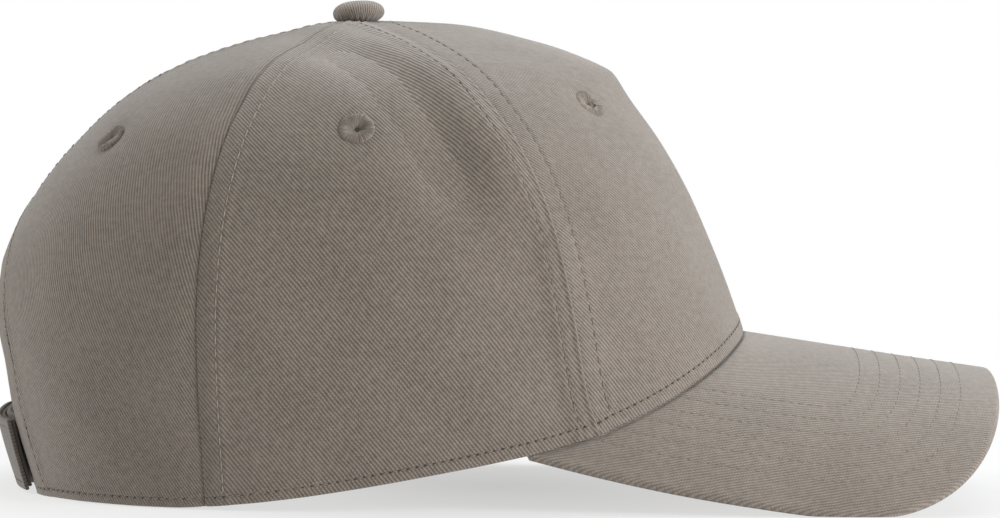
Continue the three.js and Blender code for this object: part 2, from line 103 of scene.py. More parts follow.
def read(part: Part, row: Array) -> Array:
    """Reads one column of the section table smoothly.

    Args:
        part: Column to read.
        row: Row positions, whole numbers at the table's lines.

    Returns:
        The column's values at those positions.
    """
    table = SECTIONS[:, part.value]
    place = np.clip(row, 0, LAST_ROW - 1e-9)
    i = np.floor(place).astype(int)
    u = place - i
    a, b, c, d = (table[np.clip(i + k, 0, LAST_ROW)] for k in (-1, 0, 1, 2))
    cube = (3 * b - a - 3 * c + d) * u ** 3
    return 0.5 * (2 * b + (c - a) * u + (2 * a - 5 * b + 4 * c - d) * u ** 2 + cube)


def bell(value: Array, width: float) -> Array:
    """Returns a smooth bump of height one and the given half width."""
    return np.exp(-(value / width) ** 2)


def step(value: Array, start: float, end: float) -> Array:
    """Returns a smooth step from zero at start to one at end."""
    share = np.clip((value - start) / (end - start), 0, 1)
    return share * share * (3 - 2 * share)


def unit(vectors: Array) -> Array:
    """Returns the vectors at length one."""
    return vectors / np.maximum(np.linalg.norm(vectors, axis=-1, keepdims=True), 1e-12)


def way_along(spots: Array) -> Array:
    """Returns the way from the first of the places to each of them."""
    return np.concatenate([[0], np.cumsum(np.linalg.norm(np.diff(spots, axis=0), axis=1))])


def edge_roll(distance: Array, radius: float) -> Array:
    """Returns how far a round edge falls below its face at a distance from the edge."""
    inside = np.clip(radius - distance, 0, radius)
    return radius - np.sqrt(np.maximum(radius ** 2 - inside ** 2, 0))


@dataclass(frozen=True)
class Bump:
    """A smooth bump across the cloth, or a dip where its height is below zero."""

    height: float
    middle: float
    width: float

    def at(self, place: Array) -> Array:
        """Returns the height of the bump at a place."""
        return self.height * bell(place - self.middle, self.width)


@dataclass(frozen=True)
class Fade:
    """A smooth change from a first share to a last one between two places."""

    start: float
    end: float
    first: float = 0.0
    last: float = 1.0

    def at(self, place: Array) -> Array:
        """Returns the share at a place."""
        return self.first + (self.last - self.first) * step(place, self.start, self.end)


@dataclass
class Unevenness:
    """Smooth repeatable unevenness over a plane measured in millimetres."""

    seed: int
    cells: int = 64
    lattice: Array = field(init=False)

    def __post_init__(self) -> None:
        """Draws the lattice of random heights."""
        self.lattice = np.random.default_rng(self.seed).uniform(-1, 1, (self.cells, self.cells))

    def at(self, x: Array, y: Array, wave: float) -> Array:
        """Reads the unevenness.

        Args:
            x: First coordinate.
            y: Second coordinate.
            wave: Distance between neighbouring heights of the lattice.

        Returns:
            Values between minus one and one.
        """
        gx, gy = np.broadcast_arrays(np.asarray(x) / wave, np.asarray(y) / wave)
        ix, iy = np.floor(gx).astype(int), np.floor(gy).astype(int)
        fx, fy = gx - ix, gy - iy
        fx, fy = fx * fx * (3 - 2 * fx), fy * fy * (3 - 2 * fy)
        near, far = ix % self.cells, (ix + 1) % self.cells
        low, high = iy % self.cells, (iy + 1) % self.cells
        bottom = self.lattice[near, low] * (1 - fx) + self.lattice[far, low] * fx
        top = self.lattice[near, high] * (1 - fx) + self.lattice[far, high] * fx
        return bottom * (1 - fy) + top * fy


@dataclass
class PeakForm:
    """Upper face of the peak: a bent cylinder that falls forward."""

    root_height: float = 44.5
    root_x: float = 104.0
    fall: float = 0.1406
    arch_radius: float = 92.6
    length: float = 70.0
    half_width: float = 77.2
    board: float = 3.2
    squareness: float = 3.8
    shoulder: float = 4.0
    taper: float = 2.4
    corner_lead: float = 2.0

    def height(self, x: Array, y: Array) -> Array:
        """Returns the height of the upper face over a place."""
        drop = self.arch_radius - np.sqrt(np.maximum(self.arch_radius ** 2 - y * y, 1))
        return self.root_height - self.fall * (x - self.root_x) - drop

    def upward(self, y: Array) -> Array:
        """Returns the direction that the upper face looks in."""
        slope = y / np.sqrt(self.arch_radius ** 2 - y * y)
        return unit(np.stack([np.full_like(y, self.fall), slope, np.ones_like(y)], axis=-1))

    def across(self, y: Array) -> Array:
        """Returns the way across the bent face from its middle line."""
        return self.arch_radius * np.arcsin(np.clip(y / self.arch_radius, -1, 1))


@dataclass
class Seam:
    """A seam that climbs the crown, with its own measures at each row."""

    rows: Array
    turn: Array
    metric: Array
    way: Array

    def distance(self, turn: Array, row: Array) -> Array:
        """Returns the signed distance across the seam, positive towards the back."""
        near = np.interp(row, self.rows, self.metric)
        return (turn - np.interp(row, self.rows, self.turn)) * near

    def turn_at(self, distance: Array, row: Array) -> Array:
        """Returns the angle that stands a distance off the seam."""
        return np.interp(row, self.rows, self.turn) + distance / np.interp(row, self.rows, self.metric)

    def along(self, row: Array) -> Array:
        """Returns the way along the seam from the floor."""
        return np.interp(row, self.rows, self.way)


@dataclass
class CrownForm:
    """Outer face of the crown as a function of the angle off the front and of the row."""

    height: float = 130.0
    front_reach: float = 118.0
    back_reach: float = 99.8
    half_width: float = 84.8
    front_power: float = 2.08
    back_power: float = 2.8
    wall: float = 1.8
    fit: float = 0.3
    crest: float = 3.6
    crest_share: float = 0.9
    crest_half_height: float = 6.0
    crest_half_angle: float = 15.0
    crest_sharpness: float = 1.3
    seam_rise: float = 0.5
    seam_dip: float = 0.7
    seam_width: float = 3.2
    seam_fade: float = 20.0
    dent: float = 1.3
    dent_angle: float = 71.0
    dent_half_angle: float = 6.0
    dent_up: float = 0.74
    dent_span: float = 0.17
    rest_angle: float = 123.0
    corner_angle: float = 58.4
    rim_curve: float = 1.4
    opening_half_width: float = 40.0
    opening_spring: float = 30.0
    top_hole: float = 3.0
    level_step: float = 0.25
    peak: PeakForm = field(default_factory=PeakForm)

    def __post_init__(self) -> None:
        """Measures the crown once, for the panels, the rim and the seams."""
        self.rows = np.linspace(0, LAST_ROW, ROW_STEPS + 1)
        self.row_heights = read(Part.UP, self.rows) * self.height
        self.turns = np.linspace(0, HALF_TURN, ANGLE_STEPS + 1)
        turns, rows = np.meshgrid(self.turns, self.rows, indexing="ij")
        spots = self.outer(turns, rows, plain=True)
        up = np.linalg.norm(np.diff(spots, axis=1), axis=2)
        round_way = np.linalg.norm(np.diff(spots, axis=0), axis=2)
        self.climbs = np.concatenate([np.zeros((ANGLE_STEPS + 1, 1)), np.cumsum(up, axis=1)], axis=1)
        self.arcs = np.concatenate([np.zeros((1, ROW_STEPS + 1)), np.cumsum(round_way, axis=0)], axis=0)
        self.levels = np.arange(0, self.climbs.max(), self.level_step)
        self.level_rows = np.stack([np.interp(self.levels, c, self.rows) for c in self.climbs])
        self.peak.root_x = float(self.outer(np.zeros(1), self.row_at(np.array([self.peak.root_height])))[0, 0])
        self.rim_heights = self.measure_rim()
        self.rim_climbs = self.climb(self.turns, self.row_at(self.rim_heights))
        slope = np.gradient(self.rim_climbs, self.turns) / np.maximum(
            np.gradient(self.arc(self.turns, self.row_at(self.rim_heights)), self.turns), 1e-6)
        self.rim_cosines = 1 / np.sqrt(1 + slope ** 2)
        self.top_rows = self.measure_top()
        self.front_seam = self.seam(lambda row: read(Part.SEAM, row))
        self.rear_seam = self.seam(lambda row: np.full_like(row, REAR_SEAM))
        self.back_seam = self.seam(lambda row: np.full_like(row, BACK_SEAM))

    def relief(self, turn: Array, row: Array, radius: Array) -> Array:
        """Returns the rises and dips that the whole crown has: crest, seams and side dents.

        Args:
            turn: Angle off the front.
            row: Row of the crown.
            radius: Distance of the plain crown from the button axis.

        Returns:
            How far the crown stands out there.
        """
        up = read(Part.UP, row)
        climb = np.abs(up * self.height - self.crest_share * self.height) / self.crest_half_height
        crest = self.crest * bell(turn, self.crest_half_angle) * np.exp(-(climb ** self.crest_sharpness))
        near = np.radians(radius)
        front, rear, back = (bell((turn - seam) * near, self.seam_width)
                             for seam in (read(Part.SEAM, row), REAR_SEAM, BACK_SEAM))
        dent = self.dent * bell(turn - self.dent_angle, self.dent_half_angle)
        dent = dent * bell(up - self.dent_up, self.dent_span)
        folds = self.seam_rise * front - self.seam_dip * (rear + back)
        return crest - dent + np.minimum(1, radius / self.seam_fade) * folds

    def radius(self, turn: Array, row: Array, plain: bool = False) -> Array:
        """Returns how far the crown stands off the button axis.

        Args:
            turn: Angle off the front.
            row: Row of the crown.
            plain: Whether crest, seams and dents are left out.

        Returns:
            The distances.
        """
        c, s = np.cos(np.radians(turn)), np.sin(np.radians(turn))
        ahead = c >= 0
        front, back = read(Part.FRONT, row) * self.front_reach, read(Part.BACK, row) * self.back_reach
        reach = np.where(ahead, front, back)
        side = read(Part.SIDE, row) * self.half_width
        power = np.where(ahead, self.front_power, self.back_power)
        total = (np.abs(c) / np.maximum(reach, 1e-6)) ** power + (np.abs(s) / np.maximum(side, 1e-6)) ** power
        found = total ** (-1 / power)
        return found if plain else found + self.relief(turn, row, found)

    def outer(self, angle: Array, row: Array, plain: bool = False) -> Array:
        """Returns places on the outer face in millimetres off the button axis.

        Args:
            angle: Signed angle off the front, positive to the wearer's left.
            row: Row of the crown.
            plain: Whether crest, seams and dents are left out.

        Returns:
            The places, with their three coordinates last.
        """
        angle, row = np.broadcast_arrays(np.asarray(angle, float), np.asarray(row, float))
        turn = np.abs((angle + 540) % 360 - 180)
        r = self.radius(turn, row, plain)
        z = read(Part.UP, row) * self.height
        return np.stack([r * np.cos(np.radians(angle)), r * np.sin(np.radians(angle)), z], axis=-1)

    def normal(self, angle: Array, row: Array, plain: bool = False) -> Array:
        """Returns the outward direction of the outer face.

        Args:
            angle: Signed angle off the front.
            row: Row of the crown.
            plain: Whether crest, seams and dents are left out.

        Returns:
            The directions, at length one.
        """
        above = self.outer(angle, np.minimum(row + 0.08, LAST_ROW - 0.001), plain)
        below = self.outer(angle, np.maximum(row - 0.08, 0), plain)
        ahead, behind = self.outer(angle + 1.2, row, plain), self.outer(angle - 1.2, row, plain)
        return unit(np.cross(ahead - behind, above - below))

    def row_at(self, height: Array) -> Array:
        """Returns the row that stands at a height."""
        return np.interp(height, self.row_heights, self.rows)

    def lookup(self, table: Array, turn: Array, across: Array, count: float) -> Array:
        """Reads a measured table between its lines.

        Args:
            table: Values by angle and by position.
            turn: Angles off the front.
            across: Positions along the table's second axis, as a share of it.
            count: Number of steps of the second axis.

        Returns:
            The values found.
        """
        turn, across = np.broadcast_arrays(turn, across)
        i = np.clip(turn / HALF_TURN * ANGLE_STEPS, 0, ANGLE_STEPS - 0.001)
        j = np.clip(across * count, 0, count - 0.001)
        a, b = np.floor(i).astype(int), np.floor(j).astype(int)
        u, v = i - a, j - b
        low = table[a, b] * (1 - v) + table[a, b + 1] * v
        high = table[a + 1, b] * (1 - v) + table[a + 1, b + 1] * v
        return low * (1 - u) + high * u

    def climb(self, turn: Array, row: Array) -> Array:
        """Returns the way up the crown from the floor at an angle."""
        return self.lookup(self.climbs, turn, np.asarray(row) / LAST_ROW, ROW_STEPS)

    def arc(self, turn: Array, row: Array) -> Array:
        """Returns the level way round the crown from the front."""
        return self.lookup(self.arcs, turn, np.asarray(row) / LAST_ROW, ROW_STEPS)

    def row_of_climb(self, turn: Array, climb: Array) -> Array:
        """Returns the row reached after a way up the crown."""
        count = len(self.levels) - 1
        return self.lookup(self.level_rows, turn, np.asarray(climb) / self.levels[-1], count)

    def measure_rim(self) -> Array:
        """Works out the rim, which follows the root of the peak and then falls to the floor.

        Returns:
            The height of the rim at each measured angle.
        """
        height = np.full_like(self.turns, self.peak.root_height)
        for _ in range(60):
            spot = self.outer(self.turns, self.row_at(height))
            height = 0.5 * height + 0.5 * (self.peak.height(spot[:, 0], spot[:, 1]) + self.fit)
        corner = float(np.interp(self.corner_angle, self.turns, height))
        share = np.clip((self.rest_angle - self.turns) / (self.rest_angle - self.corner_angle), 0, None)
        return np.where(self.turns <= self.corner_angle, height, corner * share ** self.rim_curve)

    def measure_top(self) -> Array:
        """Works out where the cloth ends under the button.

        Returns:
            The row of that edge at each measured angle.
        """
        low = np.full_like(self.turns, 8.0)
        high = np.full_like(self.turns, float(LAST_ROW))
        for _ in range(30):
            middle = (low + high) / 2
            outside = self.radius(self.turns, middle, plain=True) > self.top_hole
            low, high = np.where(outside, middle, low), np.where(outside, high, middle)
        return (low + high) / 2

    def rim_climb(self, turn: Array) -> Array:
        """Returns the way up from the floor at which the rim stands."""
        return np.interp(turn, self.turns, self.rim_climbs)

    def rim_cosine(self, turn: Array) -> Array:
        """Returns the cosine of the rim's slope."""
        return np.interp(turn, self.turns, self.rim_cosines)

    def rim_row(self, turn: Array) -> Array:
        """Returns the row at which the rim stands."""
        return self.row_at(np.interp(turn, self.turns, self.rim_heights))

    def above_rim(self, turn: Array, row: Array) -> Array:
        """Returns the distance of a place from the rim."""
        return (self.climb(turn, row) - self.rim_climb(turn)) * self.rim_cosine(turn)

    def top_row(self, turn: Array) -> Array:
        """Returns the row at which the cloth ends under the button."""
        return np.interp(turn, self.turns, self.top_rows)

    def seam(self, turn_of: Callable[[Array], Array]) -> Seam:
        """Measures one seam.

        Args:
            turn_of: Angle of the seam at each row.

        Returns:
            The seam with its way and its metric by row.
        """
        rows = self.rows[:-8]
        turn = turn_of(rows)
        spots = self.outer(turn, rows, plain=True)
        level = self.outer(turn + 0.5, rows, plain=True) - self.outer(turn - 0.5, rows, plain=True)
        metric = np.linalg.norm(level, axis=1)
        slant = np.abs(np.sum(unit(np.gradient(spots, axis=0)) * unit(level), axis=1))
        return Seam(rows, turn, metric * np.sqrt(1 - np.minimum(slant, 0.95) ** 2), way_along(spots))


CROWN = CrownForm()
BROAD = Unevenness(11)
CLOSE = Unevenness(23)


@dataclass(frozen=True)
class EyeletSeat:
    """Where an eyelet stands: kind of panel, angle off the front and share of the height."""

    cloth: Cloth
    turn: float
    up: float

    def row(self) -> float:
        """Returns the row of the seat."""
        return float(CROWN.row_at(self.up * CROWN.height))

    def place(self, hand: Hand) -> Array:
        """Returns the middle of the seat on one side."""
        return CROWN.outer(np.array(hand.value * self.turn), np.array(self.row()))

    def outward(self, hand: Hand) -> Array:
        """Returns the outward direction of the seat on one side."""
        return CROWN.normal(np.array(hand.value * self.turn), np.array(self.row()))


SEATS = [
    EyeletSeat(Cloth.FRONT, 28.9, 0.836),
    EyeletSeat(Cloth.SIDE, 89.5, 0.785),
    EyeletSeat(Cloth.REAR, 145.0, 0.752),
]


@dataclass(frozen=True)
class Tailoring:
    """Fine relief of the sewn crown in millimetres: seams, hems, stitch lines and soft waves."""

    front_stitch: float = 5.0
    rear_stitch: float = 5.6
    back_stitch: float = 5.0
    arch_stitch: float = 7.0
    seam_pitch: float = 3.4
    rim_pitch: float = 2.35
    groove: Bump = Bump(-0.2, 0.0, 0.55)
    gather: Bump = Bump(0.07, 0.0, 1.1)
    pucker: Bump = Bump(0.16, 0.0, 6.0)
    rim_pucker: Bump = Bump(0.14, 0.0, 5.0)
    top_fade: float = 24.0
    roll: float = 0.3
    front_roll: float = 0.09
    valley: Bump = Bump(-0.42, 0.0, 0.9)
    back_valley: Bump = Bump(-0.252, 0.0, 0.9)
    front_valley: Bump = Bump(-0.42, 0.0, 3.2)
    side_lip: Fade = Fade(5.4, 9.0, 0.62, 0.0)
    side_edge: Bump = Bump(1.0, 0.0, 2.2)
    bead: Bump = Bump(0.66, 0.95, 0.62)
    bead_fade: Fade = Fade(0.5, 0.75, 1.0, 0.58)
    front_allowance: Fade = Fade(5.6, 7.6, 0.12, 0.0)
    front_edge: Bump = Bump(-0.12, 0.0, 0.6)
    rear_allowance: Fade = Fade(6.2, 8.0, 0.28, 0.0)
    back_allowance: Fade = Fade(5.6, 7.2, 0.28, 0.0)
    drawn_out: Fade = Fade(35.0, 62.0, 0.35, 1.0)
    drawn_up: Fade = Fade(0.36, 0.55, 0.25, 1.0)
    rim_hem: Fade = Fade(0.5, 2.2, 0.3, 0.0)
    arch_hem: Fade = Fade(7.4, 9.6, 0.42, 0.0)
    arch_radius: float = 45.0
    calm_radius: float = 30.0
    broad_wave: float = 0.30
    close_wave: float = 0.10
    gather_count: int = 17
    gather_depth: Fade = Fade(7.0, 15.0, 0.42, 0.0)
    dent_start: Fade = Fade(0.5, 0.72)
    dent_end: Fade = Fade(0.93, 0.985, 1.0, 0.0)
    dent_shape: tuple[Bump, ...] = (Bump(1.1, 9.0, 5.0), Bump(-1.75, 22.5, 8.5), Bump(-1.1, 30.5, 11.0))
    eyelet_reach: float = 3.4
    eyelet_dip: Bump = Bump(-0.42, 0.0, 2.6)

    def rim_stitch(self, turn: Array) -> Array:
        """Returns how far above the rim its stitch row runs."""
        return np.interp(turn, [0, 60, 110, 180], [3.7, 3.6, 2.5, 2.3])

    def sewn_line(self, off: Array, along: Array, pitch: float) -> Array:
        """Returns the groove and the small puckers of a stitch line, off and along that line."""
        return np.sin(2 * np.pi * along / pitch) * self.gather.at(off) + self.groove.at(off)

    def front_seam_relief(self, cloth: Cloth, turn: Array, row: Array, side: Array) -> Array:
        """Returns the relief beside the front seam, whose edge rolls forward over the front panel.

        Args:
            cloth: Kind of panel.
            turn: Angle off the front.
            row: Row of the crown.
            side: Minus one or one for the wearer's right or left.

        Returns:
            Height of the cloth there.
        """
        seam, up = CROWN.front_seam, read(Part.UP, row)
        radius = CROWN.radius(turn, row, plain=True)
        off, along = np.abs(seam.distance(turn, row)), seam.along(row)
        drawn = self.drawn_out.at(radius)
        total = self.front_valley.at(off)
        if cloth is Cloth.SIDE:
            total = total + self.side_lip.at(off) * (1 - self.side_edge.at(off))
            total = total + self.bead_fade.at(up) * self.bead.at(off)
        else:
            total = total + self.front_allowance.at(off) + self.front_edge.at(off)
            drawn = drawn * self.drawn_up.at(up)
        total = total + drawn * self.sewn_line(off - self.front_stitch, along, self.seam_pitch)
        total = total + CLOSE.at(along + 200 * side, 9.0, 8.0) * self.pucker.at(off)
        return total * np.clip(radius / self.top_fade, 0, 1) - edge_roll(off, self.front_roll)

    def rear_seam_relief(self, cloth: Cloth, turn: Array, row: Array, side: Array) -> Array:
        """Returns the relief beside a rear seam, which is pressed towards the side panel.

        Args:
            cloth: Kind of panel.
            turn: Angle off the front.
            row: Row of the crown.
            side: Minus one or one for the wearer's right or left.

        Returns:
            Height of the cloth there.
        """
        seam = CROWN.rear_seam
        top = np.clip(CROWN.radius(turn, row, plain=True) / self.top_fade, 0, 1)
        off, along = np.abs(seam.distance(turn, row)), seam.along(row)
        total = self.valley.at(off) - edge_roll(off, self.roll)
        total = total + top * CLOSE.at(along + 150 * side, 31.0, 9.0) * self.pucker.at(off)
        if cloth is Cloth.SIDE:
            line = self.sewn_line(off - self.rear_stitch, along, self.seam_pitch)
            total = total + top * (self.rear_allowance.at(off) + line)
        return total

    def back_seam_relief(self, turn: Array, row: Array) -> Array:
        """Returns the relief beside the middle seam at the back.

        Args:
            turn: Angle off the front.
            row: Row of the crown.

        Returns:
            Height of the cloth there.
        """
        seam = CROWN.back_seam
        top = np.clip(CROWN.radius(turn, row, plain=True) / self.top_fade, 0, 1)
        off, along = np.abs(seam.distance(turn, row)), seam.along(row)
        line = self.sewn_line(off - self.back_stitch, along, self.seam_pitch)
        flat = self.back_valley.at(off) - edge_roll(off, self.roll)
        return flat + top * (self.back_allowance.at(off) + line)

    def hem_relief(self, cloth: Cloth, turn: Array, row: Array, spot: Array) -> Array:
        """Returns the relief of the rim hem and of the hem round the rear opening.

        Args:
            cloth: Kind of panel.
            turn: Angle off the front.
            row: Row of the crown.
            spot: Places on the plain outer face.

        Returns:
            Height of the cloth there.
        """
        above, along = CROWN.above_rim(turn, row), CROWN.arc(turn, row)
        off = above - self.rim_stitch(turn)
        total = self.sewn_line(off, along, self.rim_pitch) + self.rim_hem.at(off)
        total = total + CLOSE.at(along, 57.0, 6.5) * self.rim_pucker.at(above)
        if cloth is Cloth.REAR:
            away = self.arch_distance(spot)
            swing = np.arctan2(spot[..., 2] - CROWN.opening_spring, np.abs(spot[..., 1]))
            along = swing * self.arch_radius
            total = total + self.sewn_line(away - self.arch_stitch, along, self.rim_pitch)
            total = total + self.arch_hem.at(away) + CLOSE.at(along, 83.0, 7.0) * self.pucker.at(away)
        return total

    def arch_distance(self, spot: Array) -> Array:
        """Returns the distance from the edge of the rear opening."""
        side, rise = np.abs(spot[..., 1]), spot[..., 2] - CROWN.opening_spring
        return np.where(rise > 0, np.hypot(side, rise), side) - CROWN.opening_half_width

    def soft_waves(self, angle: Array, row: Array, spot: Array) -> Array:
        """Returns the broad softness of the cloth and the gathers round eyelets and button.

        Args:
            angle: Signed angle off the front.
            row: Row of the crown.
            spot: Places on the plain outer face.

        Returns:
            Height of the cloth there.
        """
        turn, up = np.abs(angle), read(Part.UP, row)
        around = np.sign(angle + 1e-9) * CROWN.arc(turn, row)
        climb = CROWN.climb(turn, row)
        radius = CROWN.radius(turn, row, plain=True)
        waves = self.broad_wave * BROAD.at(around, climb, 34.0)
        waves = waves + self.close_wave * BROAD.at(around, climb + 300, 13.0)
        total = np.clip(radius / self.calm_radius, 0, 1) * waves
        swing = np.radians(angle) * self.gather_count + 2.2 * CLOSE.at(turn, radius, 9.0)
        total = total - (0.5 + 0.5 * np.sin(swing)) * self.gather_depth.at(radius)
        away = CROWN.front_seam.distance(turn, row)
        dent = sum(bump.at(away) for bump in self.dent_shape)
        total = total + self.dent_start.at(up) * self.dent_end.at(up) * dent
        for seat in SEATS:
            for hand in Hand:
                reach = np.linalg.norm(spot - seat.place(hand), axis=-1)
                total = total + self.eyelet_dip.at(np.maximum(reach - self.eyelet_reach, 0))
        return total

    def height(self, cloth: Cloth, angle: Array, row: Array) -> Array:
        """Returns the whole fine relief of a panel.

        Args:
            cloth: Kind of panel.
            angle: Signed angle off the front.
            row: Row of the crown.

        Returns:
            Height of the cloth there.
        """
        spot, turn, side = CROWN.outer(angle, row), np.abs(angle), np.sign(angle)
        total = self.hem_relief(cloth, turn, row, spot) + self.soft_waves(angle, row, spot)
        if cloth is not Cloth.REAR:
            total = total + self.front_seam_relief(cloth, turn, row, side)
        if cloth is not Cloth.FRONT:
            total = total + self.rear_seam_relief(cloth, turn, row, side)
        if cloth is Cloth.REAR:
            total = total + self.back_seam_relief(turn, row)
        return total

    def skin(self, cloth: Cloth, angle: Array, row: Array) -> Array:
        """Returns places on the sewn outer face."""
        high = self.height(cloth, angle, row)
        return CROWN.outer(angle, row) + CROWN.normal(angle, row) * high[..., None]


SEWN = Tailoring()


@dataclass
class Grid:
    """A closed shell made of two matching grids of places, with cloth coordinates in millimetres."""

    outer: Array
    inner: Array
    cloth: Array
    holes: list[tuple[Array, float]] = field(default_factory=list)

    def spots(self) -> Array:
        """Returns the places of the outer face and then those of the inner one, one line each."""
        return np.concatenate([self.outer.reshape(-1, 3), self.inner.reshape(-1, 3)])

    def faces(self) -> Array:
        """Returns the corners of all faces, turned outward.

        Returns:
            One line of four corners for each face.
        """
        columns, rows = self.outer.shape[:2]
        index = np.arange(columns * rows).reshape(columns, rows)
        count = columns * rows
        quads = np.stack([index[:-1, :-1], index[1:, :-1], index[1:, 1:], index[:-1, 1:]], axis=-1)
        quads = quads.reshape(-1, 4)
        inside = quads[:, ::-1] + count
        rim = []
        for line in (index[:, 0], index[::-1, -1], index[0, ::-1], index[-1, :]):
            rim.append(np.stack([line[:-1] + count, line[1:] + count, line[1:], line[:-1]], axis=-1))
        walls = np.concatenate(rim)
        spots, middle = self.spots(), quads[len(quads) // 2]
        first = spots[middle[0]]
        facing = np.cross(spots[middle[1]] - first, spots[middle[3]] - first)
        deeper = spots[middle[0] + count] - first
        made = np.concatenate([self.pierced(quads), self.pierced(inside), walls])
        return made if np.dot(facing, deeper) < 0 else made[:, ::-1]

    def pierced(self, quads: Array) -> Array:
        """Returns the faces without those that stand in a hole.

        Args:
            quads: Corners of the faces.

        Returns:
            The faces that stay.
        """
        centres = self.spots()[quads].mean(axis=1)
        keep = np.ones(len(quads), bool)
        for middle, radius in self.holes:
            keep &= np.linalg.norm(centres - middle, axis=1) > radius
        return quads[keep]

    def mesh(self, name: str) -> bpy.types.Mesh:
        """Returns the shell as a mesh with its cloth coordinates as a map."""
        flat = np.concatenate([self.cloth.reshape(-1, 2)] * 2)
        return mesh_of(name, self.spots(), self.faces(), flat)


def loop_faces(rings: int, around: int) -> Array:
    """Returns the faces of a net that closes round its axis.

    Args:
        rings: Number of rings, one after the other along the axis.
        around: Number of places on each ring.

    Returns:
        One line of four corners for each face.
    """
    ring, spot = np.meshgrid(np.arange(rings - 1), np.arange(around), indexing="ij")
    following = (spot + 1) % around
    corners = [ring * around + spot, ring * around + following,
               (ring + 1) * around + following, (ring + 1) * around + spot]
    return np.stack(corners, axis=-1).reshape(-1, 4)


def mesh_of(name: str, spots: Array, faces: Array, flat: Array) -> bpy.types.Mesh:
    """Makes a smooth mesh from places in millimetres off the button axis.

    Args:
        name: Name of the mesh.
        spots: Places, one line each.
        faces: Corners of the four-sided faces.
        flat: Cloth coordinates in millimetres, one line for each place.

    Returns:
        The mesh in metres in the part's frame.
    """
    moved = (spots - np.array([AXIS_BACK, 0, 0])) * MM
    moved[:, 2] = np.maximum(moved[:, 2], 0)
    mesh = bpy.data.meshes.new(name)
    mesh.from_pydata(moved.tolist(), [], faces.tolist())
    layer = mesh.uv_layers.new(name="cloth")
    corners = np.empty(len(mesh.loops), dtype=np.int32)
    mesh.loops.foreach_get("vertex_index", corners)
    layer.data.foreach_set("uv", flat[corners].astype(np.float32).ravel())
    mesh.polygons.foreach_set("use_smooth", np.ones(len(mesh.polygons), bool))
    mesh.update()
    return mesh


def placed(mesh: bpy.types.Mesh, name: str, material: bpy.types.Material) -> bpy.types.Object:
    """Puts a mesh with its finish in the scene.

    Args:
        mesh: The mesh.
        name: Name of the object.
        material: Its finish.

    Returns:
        The object.
    """
    mesh.materials.clear()
    mesh.materials.append(material)
    made = bpy.data.objects.new(name, mesh)
    bpy.context.scene.collection.objects.link(made)
    return made


def dressed(made: bpy.types.Object, slot: str, *nodes: str) -> None:
    """Tells the frame what a piece stands for and reports it.

    Args:
        made: The piece.
        slot: Slot of its material in the record; not used.
        nodes: Solids of the drawing that it stands for.
    """
    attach(made, "root")
    if nodes:
        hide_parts(*nodes)
    log.info("%s: %d faces, stands for %s", made.name, len(made.data.polygons), ", ".join(nodes) or "nothing")


